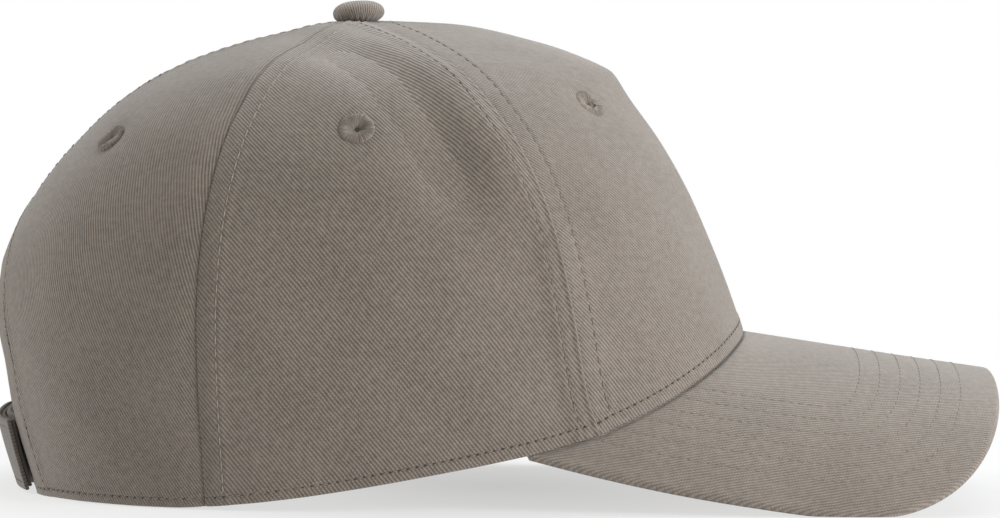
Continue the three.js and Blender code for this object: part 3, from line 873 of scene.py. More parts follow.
class Shader:
    """Short way to build the node tree of one finish."""

    def __init__(self, name: str, roughness: float, sheen: float = 0.0) -> None:
        """Starts a finish.

        Args:
            name: Name of the material.
            roughness: Roughness of its surface.
            sheen: Weight of the soft light at its fuzzy edge.
        """
        self.material = bpy.data.materials.new(name)
        self.material.use_nodes = True
        self.tree = self.material.node_tree
        self.surface = self.tree.nodes["Principled BSDF"]
        for socket, value in (("Roughness", roughness), ("Specular IOR Level", 0.18),
                              ("Sheen Weight", sheen), ("Sheen Roughness", 0.55)):
            self.surface.inputs[socket].default_value = value

    def node(self, kind: str, **inputs: object) -> bpy.types.Node:
        """Adds a node and sets or links its inputs by name.

        Args:
            kind: Type of the node.
            inputs: Values or output sockets, with spaces of the names written as underscores.

        Returns:
            The node.
        """
        made = self.tree.nodes.new(kind)
        for name, value in inputs.items():
            self.put(made.inputs[name.replace("_", " ")], value)
        return made

    def put(self, socket: Socket, value: object) -> None:
        """Links an output to an input, or sets the input's value.

        Args:
            socket: The input.
            value: An output socket or a plain value.
        """
        if isinstance(value, Socket):
            self.tree.links.new(value, socket)
        else:
            socket.default_value = value

    def math(self, operation: str, *values: object) -> Socket:
        """Adds a sum and returns its output.

        Args:
            operation: Kind of sum.
            values: Output sockets or plain values.

        Returns:
            The output with the result.
        """
        made = self.tree.nodes.new("ShaderNodeMath")
        made.operation = operation
        for socket, value in zip(made.inputs, values):
            self.put(socket, value)
        return made.outputs[0]

    def cloth(self) -> tuple[Socket, Socket, Socket]:
        """Adds the cloth coordinates of the piece.

        Returns:
            The coordinates whole, then the one across and the one up.
        """
        flat = self.node("ShaderNodeUVMap")
        flat.uv_map = "cloth"
        parts = self.node("ShaderNodeSeparateXYZ", Vector=flat.outputs[0]).outputs
        return flat.outputs[0], parts[0], parts[1]

    def blend(self, first: object, share: float, second: object, other: float) -> Socket:
        """Returns the sum of two values, each with the weight that follows it."""
        return self.math("ADD", self.math("MULTIPLY", first, share), self.math("MULTIPLY", second, other))

    def swing(self, phase: object) -> Socket:
        """Returns a wave between zero and one, with one turn for each whole number of the phase."""
        return self.math("MULTIPLY_ADD", self.math("SINE", self.math("MULTIPLY", phase, 2 * math.pi)), 0.5, 0.5)

    def mottled(self, noise: Socket, strength: float) -> Socket:
        """Returns a noise round zero instead of one half, at a strength."""
        return self.math("MULTIPLY", self.math("SUBTRACT", noise, 0.5), strength)

    def limited(self, value: object) -> Socket:
        """Returns a value held between zero and one."""
        return self.math("MAXIMUM", self.math("MINIMUM", value, 1.0), 0.0)

    def noise(self, vector: Socket, scale: float, detail: float = 2.0) -> Socket:
        """Adds smooth noise read at a vector and returns its value."""
        return self.node("ShaderNodeTexNoise", Vector=vector, Scale=scale, Detail=detail).outputs[0]

    def mix(self, share: object, dark: tuple, light: tuple) -> Socket:
        """Mixes two colours and returns the result.

        Args:
            share: Share of the light colour.
            dark: Colour at zero.
            light: Colour at one.

        Returns:
            The output with the colour.
        """
        made = self.tree.nodes.new("ShaderNodeMix")
        made.data_type = "RGBA"
        self.put(made.inputs[0], share)
        self.put(made.inputs[6], dark)
        self.put(made.inputs[7], light)
        return made.outputs[2]

    def finish(self, colour: Socket, height: Socket, depth: float) -> bpy.types.Material:
        """Ends the finish with its colour and its relief.

        Args:
            colour: Output that holds the colour.
            height: Output that holds the height, from zero to one.
            depth: Depth of the relief in millimetres.

        Returns:
            The material.
        """
        bump = self.node("ShaderNodeBump", Height=height, Strength=1.0, Distance=depth * MM)
        self.put(self.surface.inputs["Base Color"], colour)
        self.put(self.surface.inputs["Normal"], bump.outputs[0])
        return self.material


def shade(level: float, warm: float = 0.0) -> tuple[float, float, float, float]:
    """Returns the taupe of the cloth at a brightness, a little warmer or cooler."""
    return (level * (1.0 + warm), level * 0.86, level * (0.738 - warm), 1.0)


@dataclass(frozen=True)
class Twill:
    """Cotton twill: fine slanting ribs of yarn over a mottled ground."""

    name: str
    slant: float
    level: float
    pitch: float = 0.93
    float_length: float = 0.86
    contrast: float = 0.56
    depth: float = 0.19
    warm: float = 0.0
    beat: float = 0.28
    drift: float = 0.7
    rib_offset: float = 0.37

    def material(self) -> bpy.types.Material:
        """Builds ribs, yarns, fibres and mottling from the cloth coordinates of the piece.

        Returns:
            The material.
        """
        s = Shader(self.name, 0.9, 0.4)
        spot, across, up = s.cloth()
        lean = math.radians(self.slant)
        over = s.blend(across, math.sin(lean) / self.pitch, up, math.cos(lean) / self.pitch)
        phase = s.math("ADD", over, s.math("MULTIPLY", s.noise(spot, 0.13, 1.0), self.drift))
        down = s.blend(across, math.cos(lean) / self.float_length, up, -math.sin(lean) / self.float_length)
        offset = s.math("MULTIPLY", s.math("FLOOR", phase), self.rib_offset)
        yarn = s.swing(s.math("ADD", down, offset))
        woven = s.math("MULTIPLY", s.swing(phase), s.math("MULTIPLY_ADD", yarn, self.beat, 1 - self.beat))
        fibre = s.noise(spot, 2.6, 3.0)
        tone = s.blend(woven, 0.62, fibre, 0.52)
        for scale, strength in ((0.55, 0.55), (0.05, 0.3)):
            tone = s.math("ADD", tone, s.mottled(s.noise(spot, scale, 2.0), strength))
        tone = s.math("SUBTRACT", tone, 0.06)
        dark = shade(self.level * (1 - self.contrast), self.warm + 0.02)
        light = shade(self.level * (1 + self.contrast), self.warm)
        return s.finish(s.mix(s.limited(tone), dark, light), s.blend(woven, 0.8, fibre, 0.35), self.depth)


@dataclass(frozen=True)
class Satin:
    """Embroidery thread that runs out from the hole, streaked along its way."""

    name: str
    level: float
    depth: float = 0.16

    def material(self) -> bpy.types.Material:
        """Builds the streaks from the way round and out of the piece.

        Returns:
            The material.
        """
        s = Shader(self.name, 0.8, 0.3)
        _, around, out = s.cloth()
        squeezed = s.node("ShaderNodeCombineXYZ", X=around, Y=s.math("MULTIPLY", out, 0.16)).outputs[0]
        streak = s.noise(squeezed, 2.4, 3.0)
        patch = s.noise(squeezed, 0.34, 1.0)
        tone = s.limited(s.math("ADD", s.mottled(streak, 2.2), patch))
        return s.finish(s.mix(tone, shade(self.level * 0.6), shade(self.level * 1.5)), streak, self.depth)


@dataclass(frozen=True)
class Thread:
    """Sewing and embroidery thread, plain with fine mottling read in object coordinates; also the near-black
    marks that paint the shade in needle holes.
    """

    name: str
    level: float
    scale: float = 2600.0
    depth: float = 0.03

    def material(self) -> bpy.types.Material:
        """Builds the mottling.

        Returns:
            The material.
        """
        s = Shader(self.name, 0.72, 0.15)
        grain = s.noise(s.node("ShaderNodeTexCoord").outputs["Object"], self.scale, 2.0)
        return s.finish(s.mix(grain, shade(self.level * 0.8), shade(self.level * 1.2)), grain, self.depth)


@dataclass(frozen=True)
class Tape:
    """Close plain cloth with ribs along the piece, as in the sweatband and hook and loop tape."""

    name: str
    level: float
    pitch: float = 0.8
    depth: float = 0.08
    fuzz: float = 0.0

    def material(self) -> bpy.types.Material:
        """Builds the plain weave from the cloth coordinates of the piece.

        Returns:
            The material.
        """
        s = Shader(self.name, 0.93, 0.2)
        spot, across, up = s.cloth()
        warp, weft = (s.math("SINE", s.math("MULTIPLY", way, 2 * math.pi / self.pitch)) for way in (across, up))
        weave = s.math("MULTIPLY_ADD", s.math("MULTIPLY", warp, weft), 0.5, 0.5)
        height = s.blend(weave, 1 - self.fuzz, s.noise(spot, 2.2, 3.0), 0.4 + self.fuzz)
        return s.finish(s.mix(height, shade(self.level * 0.72), shade(self.level * 1.22)), height, self.depth)


# Distances of the fine columns from a seam and of the fine rows from an open edge
SEAM_ZONE = np.array([0.02, 0.06, 0.13, 0.23, 0.34, 0.45, 0.62, 0.88, 1.2, 1.6, 2.1, 2.6, 3.1, 3.6, 4.0, 4.3,
                      4.55, 4.8, 5.0, 5.2, 5.45, 5.7, 6.0, 6.4, 7.0, 8.0])
RIM_ZONE = np.array([0, 0.04, 0.12, 0.25, 0.42, 0.62, 0.85, 1.1, 1.4, 1.7, 1.95, 2.2, 2.45, 2.7, 2.95, 3.2, 3.4,
                     3.6, 3.8, 4.0, 4.3, 4.7, 5.3, 5.8, 6.2, 6.5, 6.75, 7.0, 7.25, 7.5, 7.9, 8.4, 9.0, 9.8])
ZONE = len(SEAM_ZONE)
ZONE_END = SEAM_ZONE[-1]
HEM = len(RIM_ZONE)
HEM_END = RIM_ZONE[-1]


def inner_shares(count: int) -> Array:
    """Returns even shares between zero and one, without the two ends."""
    return np.linspace(0, 1, count + 2)[1:-1]


@dataclass(frozen=True)
class Panel:
    """One crown panel, cut between two seams, the rim and the button."""

    name: str
    cloth: Cloth
    hand: Hand
    finish: Twill
    middle_columns: int
    upper_rows: int = 118
    rim_roll: float = 0.6
    hole_radius: float = 1.9
    crowding: float = 0.4

    def seams(self) -> tuple[Seam, Seam]:
        """Returns the seams at the low and the high angle of the panel."""
        side = self.cloth is Cloth.SIDE
        return (CROWN.front_seam, CROWN.rear_seam) if side else (CROWN.rear_seam, CROWN.back_seam)

    def crowded(self, width: Array) -> Array:
        """Returns how far the fine columns are drawn together where the panel is narrow."""
        return np.minimum(1, self.crowding * width / ZONE_END)

    def beside_seams(self, row: Array, shrink: Array) -> tuple[Array, Array, Array, Array]:
        """Returns the angles beside both seams of a side or rear panel.

        Args:
            row: Rows of the grid, columns first.
            shrink: How far the fine columns are drawn together.

        Returns:
            Angles of the fine columns at the low seam and at the high seam, then the angles
            between which the other columns stand.
        """
        low, high = self.seams()
        middle = slice(ZONE, -ZONE)
        return (low.turn_at(SEAM_ZONE[:, None] * shrink[:ZONE], row[:ZONE]),
                high.turn_at(-SEAM_ZONE[::-1, None] * shrink[-ZONE:], row[-ZONE:]),
                low.turn_at(ZONE_END * shrink[middle], row[middle]),
                high.turn_at(-ZONE_END * shrink[middle], row[middle]))

    def mean_metric(self, row: Array) -> Array:
        """Returns the cloth's width for each degree, halfway between the two seams."""
        low, high = self.seams()
        return 0.5 * (np.interp(row, low.rows, low.metric) + np.interp(row, high.rows, high.metric))

    def angles(self, row: Array) -> Array:
        """Returns the angle of every column for a grid of rows.

        Args:
            row: Rows of the grid, columns first.

        Returns:
            Signed angles off the front.
        """
        share = inner_shares(self.middle_columns)[:, None]
        if self.cloth is Cloth.FRONT:
            seam = CROWN.front_seam
            shrink = self.crowded(2 * seam.turn_at(0 * row, row) * np.interp(row, seam.rows, seam.metric))
            left = seam.turn_at(-SEAM_ZONE[::-1, None] * shrink[-ZONE:], row[-ZONE:])
            right = -seam.turn_at(-SEAM_ZONE[:, None] * shrink[:ZONE], row[:ZONE])
            start = -seam.turn_at(-ZONE_END * shrink[ZONE:-ZONE], row[ZONE:-ZONE])
            return np.concatenate([right, start * (1 - 2 * share), left])
        low, high = self.seams()
        width = high.turn_at(0 * row, row) - low.turn_at(0 * row, row)
        shrink = self.crowded(width * self.mean_metric(row))
        first, last, start, end = self.beside_seams(row, shrink)
        return np.concatenate([first, start + (end - start) * share, last]) * self.hand.value

    def net(self) -> tuple[Array, Array]:
        """Works out the net, whose angles and rows depend on each other.

        Returns:
            The angle and the row of every place, columns first.
        """
        share = np.linspace(0, 1, self.upper_rows + 1)[1:]
        row = np.tile(np.linspace(1, 11, HEM + self.upper_rows), (2 * ZONE + self.middle_columns, 1))
        for _ in range(6):
            turn = np.abs(self.angles(row))
            foot, cosine = CROWN.rim_climb(turn), CROWN.rim_cosine(turn)
            head, start = CROWN.climb(turn, CROWN.top_row(turn)), foot + HEM_END / cosine
            hem = foot[:, :HEM] + RIM_ZONE / cosine[:, :HEM]
            upper = start[:, HEM:] + (head - start)[:, HEM:] * share
            row = CROWN.row_of_climb(turn, np.concatenate([hem, upper], axis=1))
        return self.angles(row), row

    def cloth_map(self, angle: Array, row: Array) -> Array:
        """Returns the place of every grid point on the flat cloth, in millimetres.

        Args:
            angle: Signed angle off the front.
            row: Row of the crown.

        Returns:
            Coordinates across and up the cloth.
        """
        turn = np.abs(angle)
        middle = {Cloth.FRONT: 0.0, Cloth.SIDE: 85.0, Cloth.REAR: 148.0}[self.cloth]
        side = np.sign(angle) if self.cloth is Cloth.FRONT else self.hand.value
        around = side * (CROWN.arc(turn, row) - CROWN.arc(np.full_like(turn, middle), row))
        return np.stack([around, CROWN.climb(np.full_like(turn, middle), row)], axis=-1)

    def edge_distance(self, angle: Array, row: Array) -> Array:
        """Returns the distance from the open edge of the panel."""
        return CROWN.above_rim(np.abs(angle), row)

    def grid(self) -> Grid:
        """Works out both faces of the panel with their rolled edges.

        Returns:
            The closed shell.
        """
        angle, row = self.net()
        out = CROWN.normal(angle, row)
        base = CROWN.outer(angle, row)
        high = SEWN.height(self.cloth, angle, row)
        away = self.edge_distance(angle, row)
        fall = edge_roll(away, self.rim_roll)
        outer = base + out * (high - fall)[..., None]
        inner = base + out * (fall - CROWN.wall + high * (1 - step(away, 0.0, 0.5)))[..., None]
        holes = [(seat.place(hand), self.hole_radius) for seat in SEATS for hand in Hand]
        return Grid(outer, inner, self.cloth_map(angle, row), holes)

    def build(self) -> None:
        """Makes the panel and tells the frame what it stands for."""
        cloth = self.name + "_cloth"
        mesh = self.grid().mesh(cloth)
        dressed(placed(mesh, cloth, self.finish.material()), "twill", self.name)


@dataclass(frozen=True)
class RearPanel(Panel):
    """Rear panel with its share of the arched opening."""

    corner_reach: float = 14.0
    lean: float = 0.7
    degree_length: float = 1.66
    rounds: int = 500

    def lower_edge(self) -> tuple[Array, Array, Array]:
        """Follows the rim to the opening's corner, then the post and the arch to the middle seam.

        Returns:
            Angle and row of every column, and its inward direction across and up the cloth.
        """
        half, spring = CROWN.opening_half_width, CROWN.opening_spring
        scan = np.linspace(REAR_SEAM, 179.9, 600)
        floor = CROWN.outer(scan, 0 * scan)
        ways = way_along(floor)
        rest = float(np.interp(np.interp(-half, -floor[:, 1], scan), scan, ways))
        whole = rest + spring + half * np.pi / 2
        inner = np.linspace(ZONE_END, whole - ZONE_END, self.middle_columns + 2)[1:-1]
        way = np.concatenate([SEAM_ZONE, inner, whole - SEAM_ZONE[::-1]])
        on_rim = way <= rest
        climb = np.maximum(way - rest, 0)
        swing = np.maximum(climb - spring, 0) / half
        rim_turn = np.interp(way, ways, scan)
        rise = np.minimum(climb, spring) + half * np.sin(swing)
        row = np.where(on_rim, CROWN.rim_row(rim_turn), CROWN.row_at(rise))
        turn = np.where(on_rim, rim_turn, self.turn_at_side(half * np.cos(swing), row))
        off = (way - rest) / self.corner_reach
        near = on_rim | (climb < self.corner_reach)
        across = np.where(near, np.clip(1 + off, 0, 1), np.cos(swing))
        up = np.where(near, np.clip(1 - off, 0, 1), np.sin(swing))
        return turn, row, np.stack([across, up], axis=-1)

    @staticmethod
    def turn_at_side(side: Array, row: Array) -> Array:
        """Searches a row of the rear wall for the place at a distance off the middle.

        Args:
            side: Distances off the middle.
            row: Rows of the crown.

        Returns:
            The angles of those places.
        """
        low, high = np.full_like(side, 120.0), np.full_like(side, 180.0)
        for _ in range(40):
            middle = (low + high) / 2
            far = CROWN.radius(middle, row) * np.sin(np.radians(middle)) > side
            low, high = np.where(far, middle, low), np.where(far, high, middle)
        return (low + high) / 2

    def hem_net(self) -> tuple[Array, Array]:
        """Works out the fine rows along rim and opening.

        Returns:
            Angles and rows of the hem, columns first.
        """
        turn, row, inward = self.lower_edge()
        metric = np.radians(CROWN.radius(turn, row, plain=True))
        hem_turn = turn[:, None] - inward[:, :1] * RIM_ZONE / metric[:, None]
        hem_row = CROWN.row_of_climb(hem_turn, CROWN.climb(turn, row)[:, None] + inward[:, 1:] * RIM_ZONE)
        low, high = self.seams()
        for i, reach in enumerate(SEAM_ZONE):
            hem_turn[i] = low.turn_at(reach, hem_row[i])
            hem_turn[-1 - i] = high.turn_at(-reach, hem_row[-1 - i])
        return hem_turn, hem_row

    def net(self) -> tuple[Array, Array]:
        """Works out the net from the hem up to the button.

        Returns:
            The angle and the row of every place, columns first.
        """
        hem_turn, hem_row = self.hem_net()
        start = hem_turn[:, -1:]
        share = inner_shares(self.middle_columns)
        rise = np.linspace(0, 1, self.upper_rows + 1)[None, 1:]
        full_share = np.concatenate([np.zeros(ZONE), share, np.ones(ZONE)])[:, None]
        aim = full_share * (BACK_SEAM - REAR_SEAM) + REAR_SEAM
        start_climb = CROWN.climb(start, hem_row[:, -1:])
        upper_turn = start + (aim - start) * rise ** self.lean
        for _ in range(5):
            head = CROWN.climb(upper_turn, CROWN.top_row(upper_turn))
            foot = np.minimum(start_climb, head)
            upper_row = CROWN.row_of_climb(upper_turn, foot + (head - foot) * rise)
            upper_turn = self.fanned(start, rise, upper_row, share[:, None])
        upper_row[:, -1:] = CROWN.top_row(upper_turn[:, -1:])
        turn = np.concatenate([hem_turn, upper_turn], axis=1)
        row = np.concatenate([hem_row, upper_row], axis=1)
        middle = (slice(ZONE - 1, len(turn) - ZONE + 1), slice(HEM - 1, None))
        turn[middle], row[middle] = self.evened(turn[middle], row[middle])
        return turn * self.hand.value, row

    def evened(self, turn: Array, row: Array) -> tuple[Array, Array]:
        """Moves the inner places of the net between its fixed edges until no cells cross.

        Args:
            turn: Angles of the middle part of the net.
            row: Rows of the middle part of the net.

        Returns:
            The evened angles and rows.
        """
        net = np.stack([turn * self.degree_length, CROWN.climb(turn, row)])
        inner = np.s_[:, 1:-1, 1:-1]
        for _ in range(self.rounds):
            after, before = net[:, 2:, 1:-1], net[:, :-2, 1:-1]
            above, below = net[:, 1:-1, 2:], net[:, 1:-1, :-2]
            across, upward = (after - before) / 2, (above - below) / 2
            rise, run = (upward ** 2).sum(axis=0), (across ** 2).sum(axis=0)
            twist = (net[:, 2:, 2:] - net[:, :-2, 2:] - net[:, 2:, :-2] + net[:, :-2, :-2]) / 4
            pull = rise * (after + before) + run * (above + below) - 2 * (across * upward).sum(axis=0) * twist
            net[inner] = pull / (2 * (rise + run) + 1e-9)
        evened = net[0] / self.degree_length
        return evened, CROWN.row_of_climb(evened, net[1])

    def fanned(self, start: Array, rise: Array, row: Array, share: Array) -> Array:
        """Keeps the seam columns at their distance and lets the others lean to even shares.

        Args:
            start: Angles at the top of the hem.
            rise: Share of the way up.
            row: Rows of the upper grid.
            share: Shares of the middle columns.

        Returns:
            Angles of the upper grid.
        """
        shrink = self.crowded((BACK_SEAM - REAR_SEAM) * self.mean_metric(row))
        first, last, near, far = self.beside_seams(row, shrink)
        foot = start[ZONE:-ZONE]
        middle = foot + (near + (far - near) * share - foot) * rise ** self.lean
        return np.concatenate([first, np.clip(middle, near, far), last])

    def edge_distance(self, angle: Array, row: Array) -> Array:
        """Returns the distance from the rim or from the edge of the opening, whichever is nearer."""
        above = super().edge_distance(angle, row)
        return np.minimum(above, np.maximum(SEWN.arch_distance(CROWN.outer(angle, row)), 0))


@dataclass(frozen=True)
class Peak:
    """Curved peak: a board between two layers of twill with rows of stitches along its edge."""

    finish: Twill
    columns: int = 300
    rows: int = 96
    row_distances: tuple[float, ...] = (10.8, 16.3, 21.9, 27.4, 33.0, 38.6)
    edge_distances: tuple[float, ...] = (8.0, 7.0, 6.0, 5.0, 4.2, 3.5, 2.9, 2.4, 1.9, 1.5, 1.2, 0.95, 0.72,
                                         0.52, 0.34, 0.2, 0.09, 0.02, 0.0)
    roll: float = 1.35
    groove: Bump = Bump(-0.03, 0.0, 0.6)
    pillow: Bump = Bump(0.04, 2.75, 1.6)
    tuck: Bump = Bump(-0.95, -0.4, 0.8)
    edge_calm: Fade = Fade(0.3, 2.0)
    lower_share: float = 0.6
    root_trim: float = 0.9
    root_depth: float = 1.5
    stitch_pitch: float = 2.6
    stitch_lift: float = 0.05

    def outline(self, count: int) -> Array:
        """Draws the outline seen from above, from the left corner round the front to the right one.

        Args:
            count: Number of even steps.

        Returns:
            The places at those steps.
        """
        form = CROWN.peak
        corner = np.array(CROWN.corner_angle)
        corner_x = float(CROWN.outer(corner, CROWN.rim_row(corner))[0])
        start, shoulder = corner_x + form.corner_lead, form.root_x - form.shoulder
        share = np.linspace(0, 1, 61)
        sides = np.stack([start + (shoulder - start) * share,
                          form.half_width - form.taper * (1 - share) ** 2], axis=1)
        swing = np.pi / 2 * (1 - np.linspace(0, 1, 401)[1:])
        power = 2 / form.squareness
        front = np.stack([shoulder + (form.root_x + form.length - shoulder) * np.abs(np.cos(swing)) ** power,
                          form.half_width * np.abs(np.sin(swing)) ** power], axis=1)
        dense = np.concatenate([sides, front])
        dense = np.concatenate([dense, dense[-2::-1] * np.array([1, -1])])
        way = way_along(dense)
        even = np.linspace(0, way[-1], count + 1)
        return np.stack([np.interp(even, way, dense[:, k]) for k in range(2)], axis=1)

    def root(self, count: int) -> Array:
        """Returns the inner edge of the peak under the rim.

        Args:
            count: Number of even steps.

        Returns:
            The places at those steps, seen from above.
        """
        reach = CROWN.corner_angle - self.root_trim
        angle = np.linspace(reach, -reach, count + 1)
        row = CROWN.rim_row(np.abs(angle))
        return (CROWN.outer(angle, row) - CROWN.normal(angle, row) * self.root_depth)[:, :2]

    def flat_net(self) -> tuple[Array, Array]:
        """Lays the net out between the root and the outline.

        Returns:
            The places seen from above and their distance from the outline, over the bent face.
        """
        form = CROWN.peak
        outline, root = self.outline(self.columns), self.root(self.columns)
        length = np.linalg.norm(outline - root, axis=1)[:, None]
        edge = np.array(self.edge_distances)
        shrink = np.minimum(1, 0.5 * length / edge[0])
        inner = np.linspace(0, 1, self.rows)[None, :-1] * (length - edge[0] * shrink)
        way = np.concatenate([inner, length - edge[None, :] * shrink], axis=1) / length
        places = root[:, None] + (outline - root)[:, None] * way[..., None]
        spots, line = (np.stack([s[..., 0], form.across(s[..., 1])], axis=-1).reshape(-1, 2)
                       for s in (places, outline))
        best = np.full(len(spots), np.inf)
        for a, b in zip(line[:-1], line[1:]):
            share = np.clip(((spots - a) @ (b - a)) / ((b - a) @ (b - a)), 0, 1)
            gap = spots - a - share[:, None] * (b - a)
            best = np.minimum(best, np.hypot(gap[:, 0], gap[:, 1]))
        return places, best.reshape(places.shape[:2])

    def relief(self, places: Array, distance: Array) -> Array:
        """Returns the fine relief of the cloth.

        Args:
            places: Places seen from above.
            distance: Their distance from the outline.

        Returns:
            Height of the cloth there.
        """
        x, y = places[..., 0], places[..., 1]
        turn = np.degrees(np.arctan2(np.abs(y), x))
        gap = np.hypot(x, y) - CROWN.radius(turn, CROWN.rim_row(turn))
        total = 0.16 * BROAD.at(x, y, 30.0) + self.tuck.at(gap)
        for line in self.row_distances:
            total = total + self.groove.at(distance - line) + self.pillow.at(distance - line)
        return total * self.edge_calm.at(distance)

    def layers(self) -> tuple[Array, Array, Array, Array]:
        """Works out both faces of the peak.

        Returns:
            Upper places, lower places, distances from the outline and cloth coordinates.
        """
        places, distance = self.flat_net()
        form = CROWN.peak
        up = form.upward(places[..., 1])
        top = np.concatenate([places, form.height(places[..., 0], places[..., 1])[..., None]], axis=-1)
        fall = edge_roll(distance, self.roll) * (form.board / 2 / self.roll)
        relief = self.relief(places, distance)
        upper = top + up * (relief - fall)[..., None]
        lower = top - up * (form.board - fall + self.lower_share * relief)[..., None]
        flat = np.stack([-form.across(places[..., 1]), places[..., 0]], axis=-1)
        return upper, lower, distance, flat

    def build(self) -> list["StitchRun"]:
        """Makes the peak.

        Returns:
            The stitch rows on both faces.
        """
        upper, lower, distance, flat = self.layers()
        mesh = Grid(upper, lower, flat).mesh("peak_cloth")
        dressed(placed(mesh, "peak_cloth", self.finish.material()), "twill", "peak")
        runs = []
        for face, away in ((upper, 1.0), (lower, -1.0)):
            for line in self.row_distances:
                path = self.contour(face, distance, line)
                out = CROWN.peak.upward(path[:, 1]) * away
                runs.append(StitchRun.along_path(path, out, self.stitch_pitch, self.stitch_lift))
        return runs

    @staticmethod
    def contour(face: Array, distance: Array, line: float) -> Array:
        """Returns the path on a face that keeps one distance from the outline.

        Args:
            face: Places of the face, columns first.
            distance: Their distance from the outline.
            line: The distance to keep.

        Returns:
            Places along the path.
        """
        path = []
        for spots, away in zip(face, distance):
            if away.max() > line + 1.5:
                path.append([np.interp(-line, -away, spots[:, k]) for k in range(3)])
        return np.array(path)


@dataclass
class StitchRun:
    """A run of stitches: middle, direction and outward direction of each."""

    middles: Array
    along: Array
    out: Array

    @classmethod
    def along_path(cls, path: Array, out: Array, pitch: float, lift: float) -> "StitchRun":
        """Lays stitches along a path.

        Args:
            path: Places along the line, in millimetres.
            out: Outward direction at each place.
            pitch: Length of one stitch with its gap.
            lift: Height of the thread's middle above the path.

        Returns:
            The run.
        """
        way = way_along(path)
        count = max(int(way[-1] / pitch), 1)
        centre = (np.arange(count) + 0.5) * way[-1] / count

        def at(table: Array, where: Array) -> Array:
            """Reads a table of vectors along the path."""
            return np.stack([np.interp(where, way, table[:, k]) for k in range(3)], axis=1)

        outward = unit(at(out, centre))
        ahead = unit(at(path, centre + 0.4) - at(path, centre - 0.4))
        return cls(at(path, centre) + outward * lift, ahead, outward)

    def shifted(self, way: float, lift: float) -> "StitchRun":
        """Returns the run moved along itself and outward."""
        return StitchRun(self.middles + self.along * way + self.out * lift, self.along, self.out)

    def outside(self, radius: float) -> "StitchRun":
        """Returns the stitches that stand further than a radius off the button axis."""
        keep = np.hypot(self.middles[:, 0], self.middles[:, 1]) > radius
        return StitchRun(self.middles[keep], self.along[keep], self.out[keep])


@dataclass(frozen=True)
class StitchMaker:
    """Sets one small body at every stitch with a node tree, and hands it on as a plain mesh.

    The half size is along the line, across it and off the cloth.
    """

    name: str
    half_size: tuple[float, float, float]
    finish: Thread
    seed: int = 5
    segments: int = 8
    rings: int = 5
    least: float = 0.86
    most: float = 1.08

    def tree(self) -> bpy.types.NodeTree:
        """Builds the node tree, which turns a ball into a stitch at each place.

        Returns:
            The tree with its named inputs.
        """
        tree = bpy.data.node_groups.new(self.name, "GeometryNodeTree")
        for name, way, kind in (("Geometry", "INPUT", "Geometry"), ("Half size", "INPUT", "Vector"),
                                ("Seed", "INPUT", "Int"), ("Finish", "INPUT", "Material"),
                                ("Geometry", "OUTPUT", "Geometry")):
            tree.interface.new_socket(name, in_out=way, socket_type="NodeSocket" + kind)
        new = tree.nodes.new
        given, result = new("NodeGroupInput"), new("NodeGroupOutput")
        body = new("GeometryNodeMeshUVSphere")
        along, out = new("GeometryNodeInputNamedAttribute"), new("GeometryNodeInputNamedAttribute")
        turn, chance = new("FunctionNodeAxesToRotation"), new("FunctionNodeRandomValue")
        size, spread = new("ShaderNodeVectorMath"), new("GeometryNodeInstanceOnPoints")
        plain, coat = new("GeometryNodeRealizeInstances"), new("GeometryNodeSetMaterial")
        along.data_type = out.data_type = "FLOAT_VECTOR"
        turn.primary_axis, turn.secondary_axis = "Z", "X"
        chance.data_type, size.operation = "FLOAT", "SCALE"
        for node, socket, value in ((body, "Segments", self.segments), (body, "Rings", self.rings),
                                    (body, "Radius", 1.0), (along, "Name", "along"), (out, "Name", "out"),
                                    (chance, 2, self.least), (chance, 3, self.most)):
            node.inputs[socket].default_value = value
        for start, output, end, entry in (
                (given, "Geometry", spread, "Points"), (body, "Mesh", spread, "Instance"),
                (out, "Attribute", turn, "Primary Axis"), (along, "Attribute", turn, "Secondary Axis"),
                (turn, "Rotation", spread, "Rotation"), (given, "Seed", chance, "Seed"),
                (given, "Half size", size, 0), (chance, 1, size, "Scale"), (size, 0, spread, "Scale"),
                (spread, "Instances", plain, "Geometry"), (plain, "Geometry", coat, "Geometry"),
                (given, "Finish", coat, "Material"), (coat, "Geometry", result, "Geometry")):
            tree.links.new(start.outputs[output], end.inputs[entry])
        return tree

    def build(self, runs: list[StitchRun]) -> None:
        """Sews all runs as one piece.

        Args:
            runs: The runs of stitches.
        """
        spots = (np.concatenate([r.middles for r in runs]) - np.array([AXIS_BACK, 0, 0])) * MM
        mesh = bpy.data.meshes.new(self.name + "_places")
        mesh.from_pydata(spots.tolist(), [], [])
        for name, vectors in (("along", [r.along for r in runs]), ("out", [r.out for r in runs])):
            layer = mesh.attributes.new(name, "FLOAT_VECTOR", "POINT")
            layer.data.foreach_set("vector", np.concatenate(vectors).astype(np.float32).ravel())
        carrier = bpy.data.objects.new(self.name + "_places", mesh)
        bpy.context.scene.collection.objects.link(carrier)
        finish = self.finish.material()
        modifier = carrier.modifiers.new("sewing", "NODES")
        modifier.node_group = self.tree()
        values = {"Half size": [v * MM for v in self.half_size], "Seed": self.seed, "Finish": finish}
        for item in modifier.node_group.interface.items_tree:
            if item.in_out == "INPUT" and item.name in values:
                modifier[item.identifier] = values[item.name]
        evaluated = carrier.evaluated_get(bpy.context.evaluated_depsgraph_get())
        made = bpy.data.meshes.new_from_object(evaluated)
        made.name = self.name
        carrier.modifiers.clear()
        bpy.data.objects.remove(carrier)
        made.polygons.foreach_set("use_smooth", np.ones(len(made.polygons), bool))
        dressed(placed(made, self.name, finish), "embroidery")


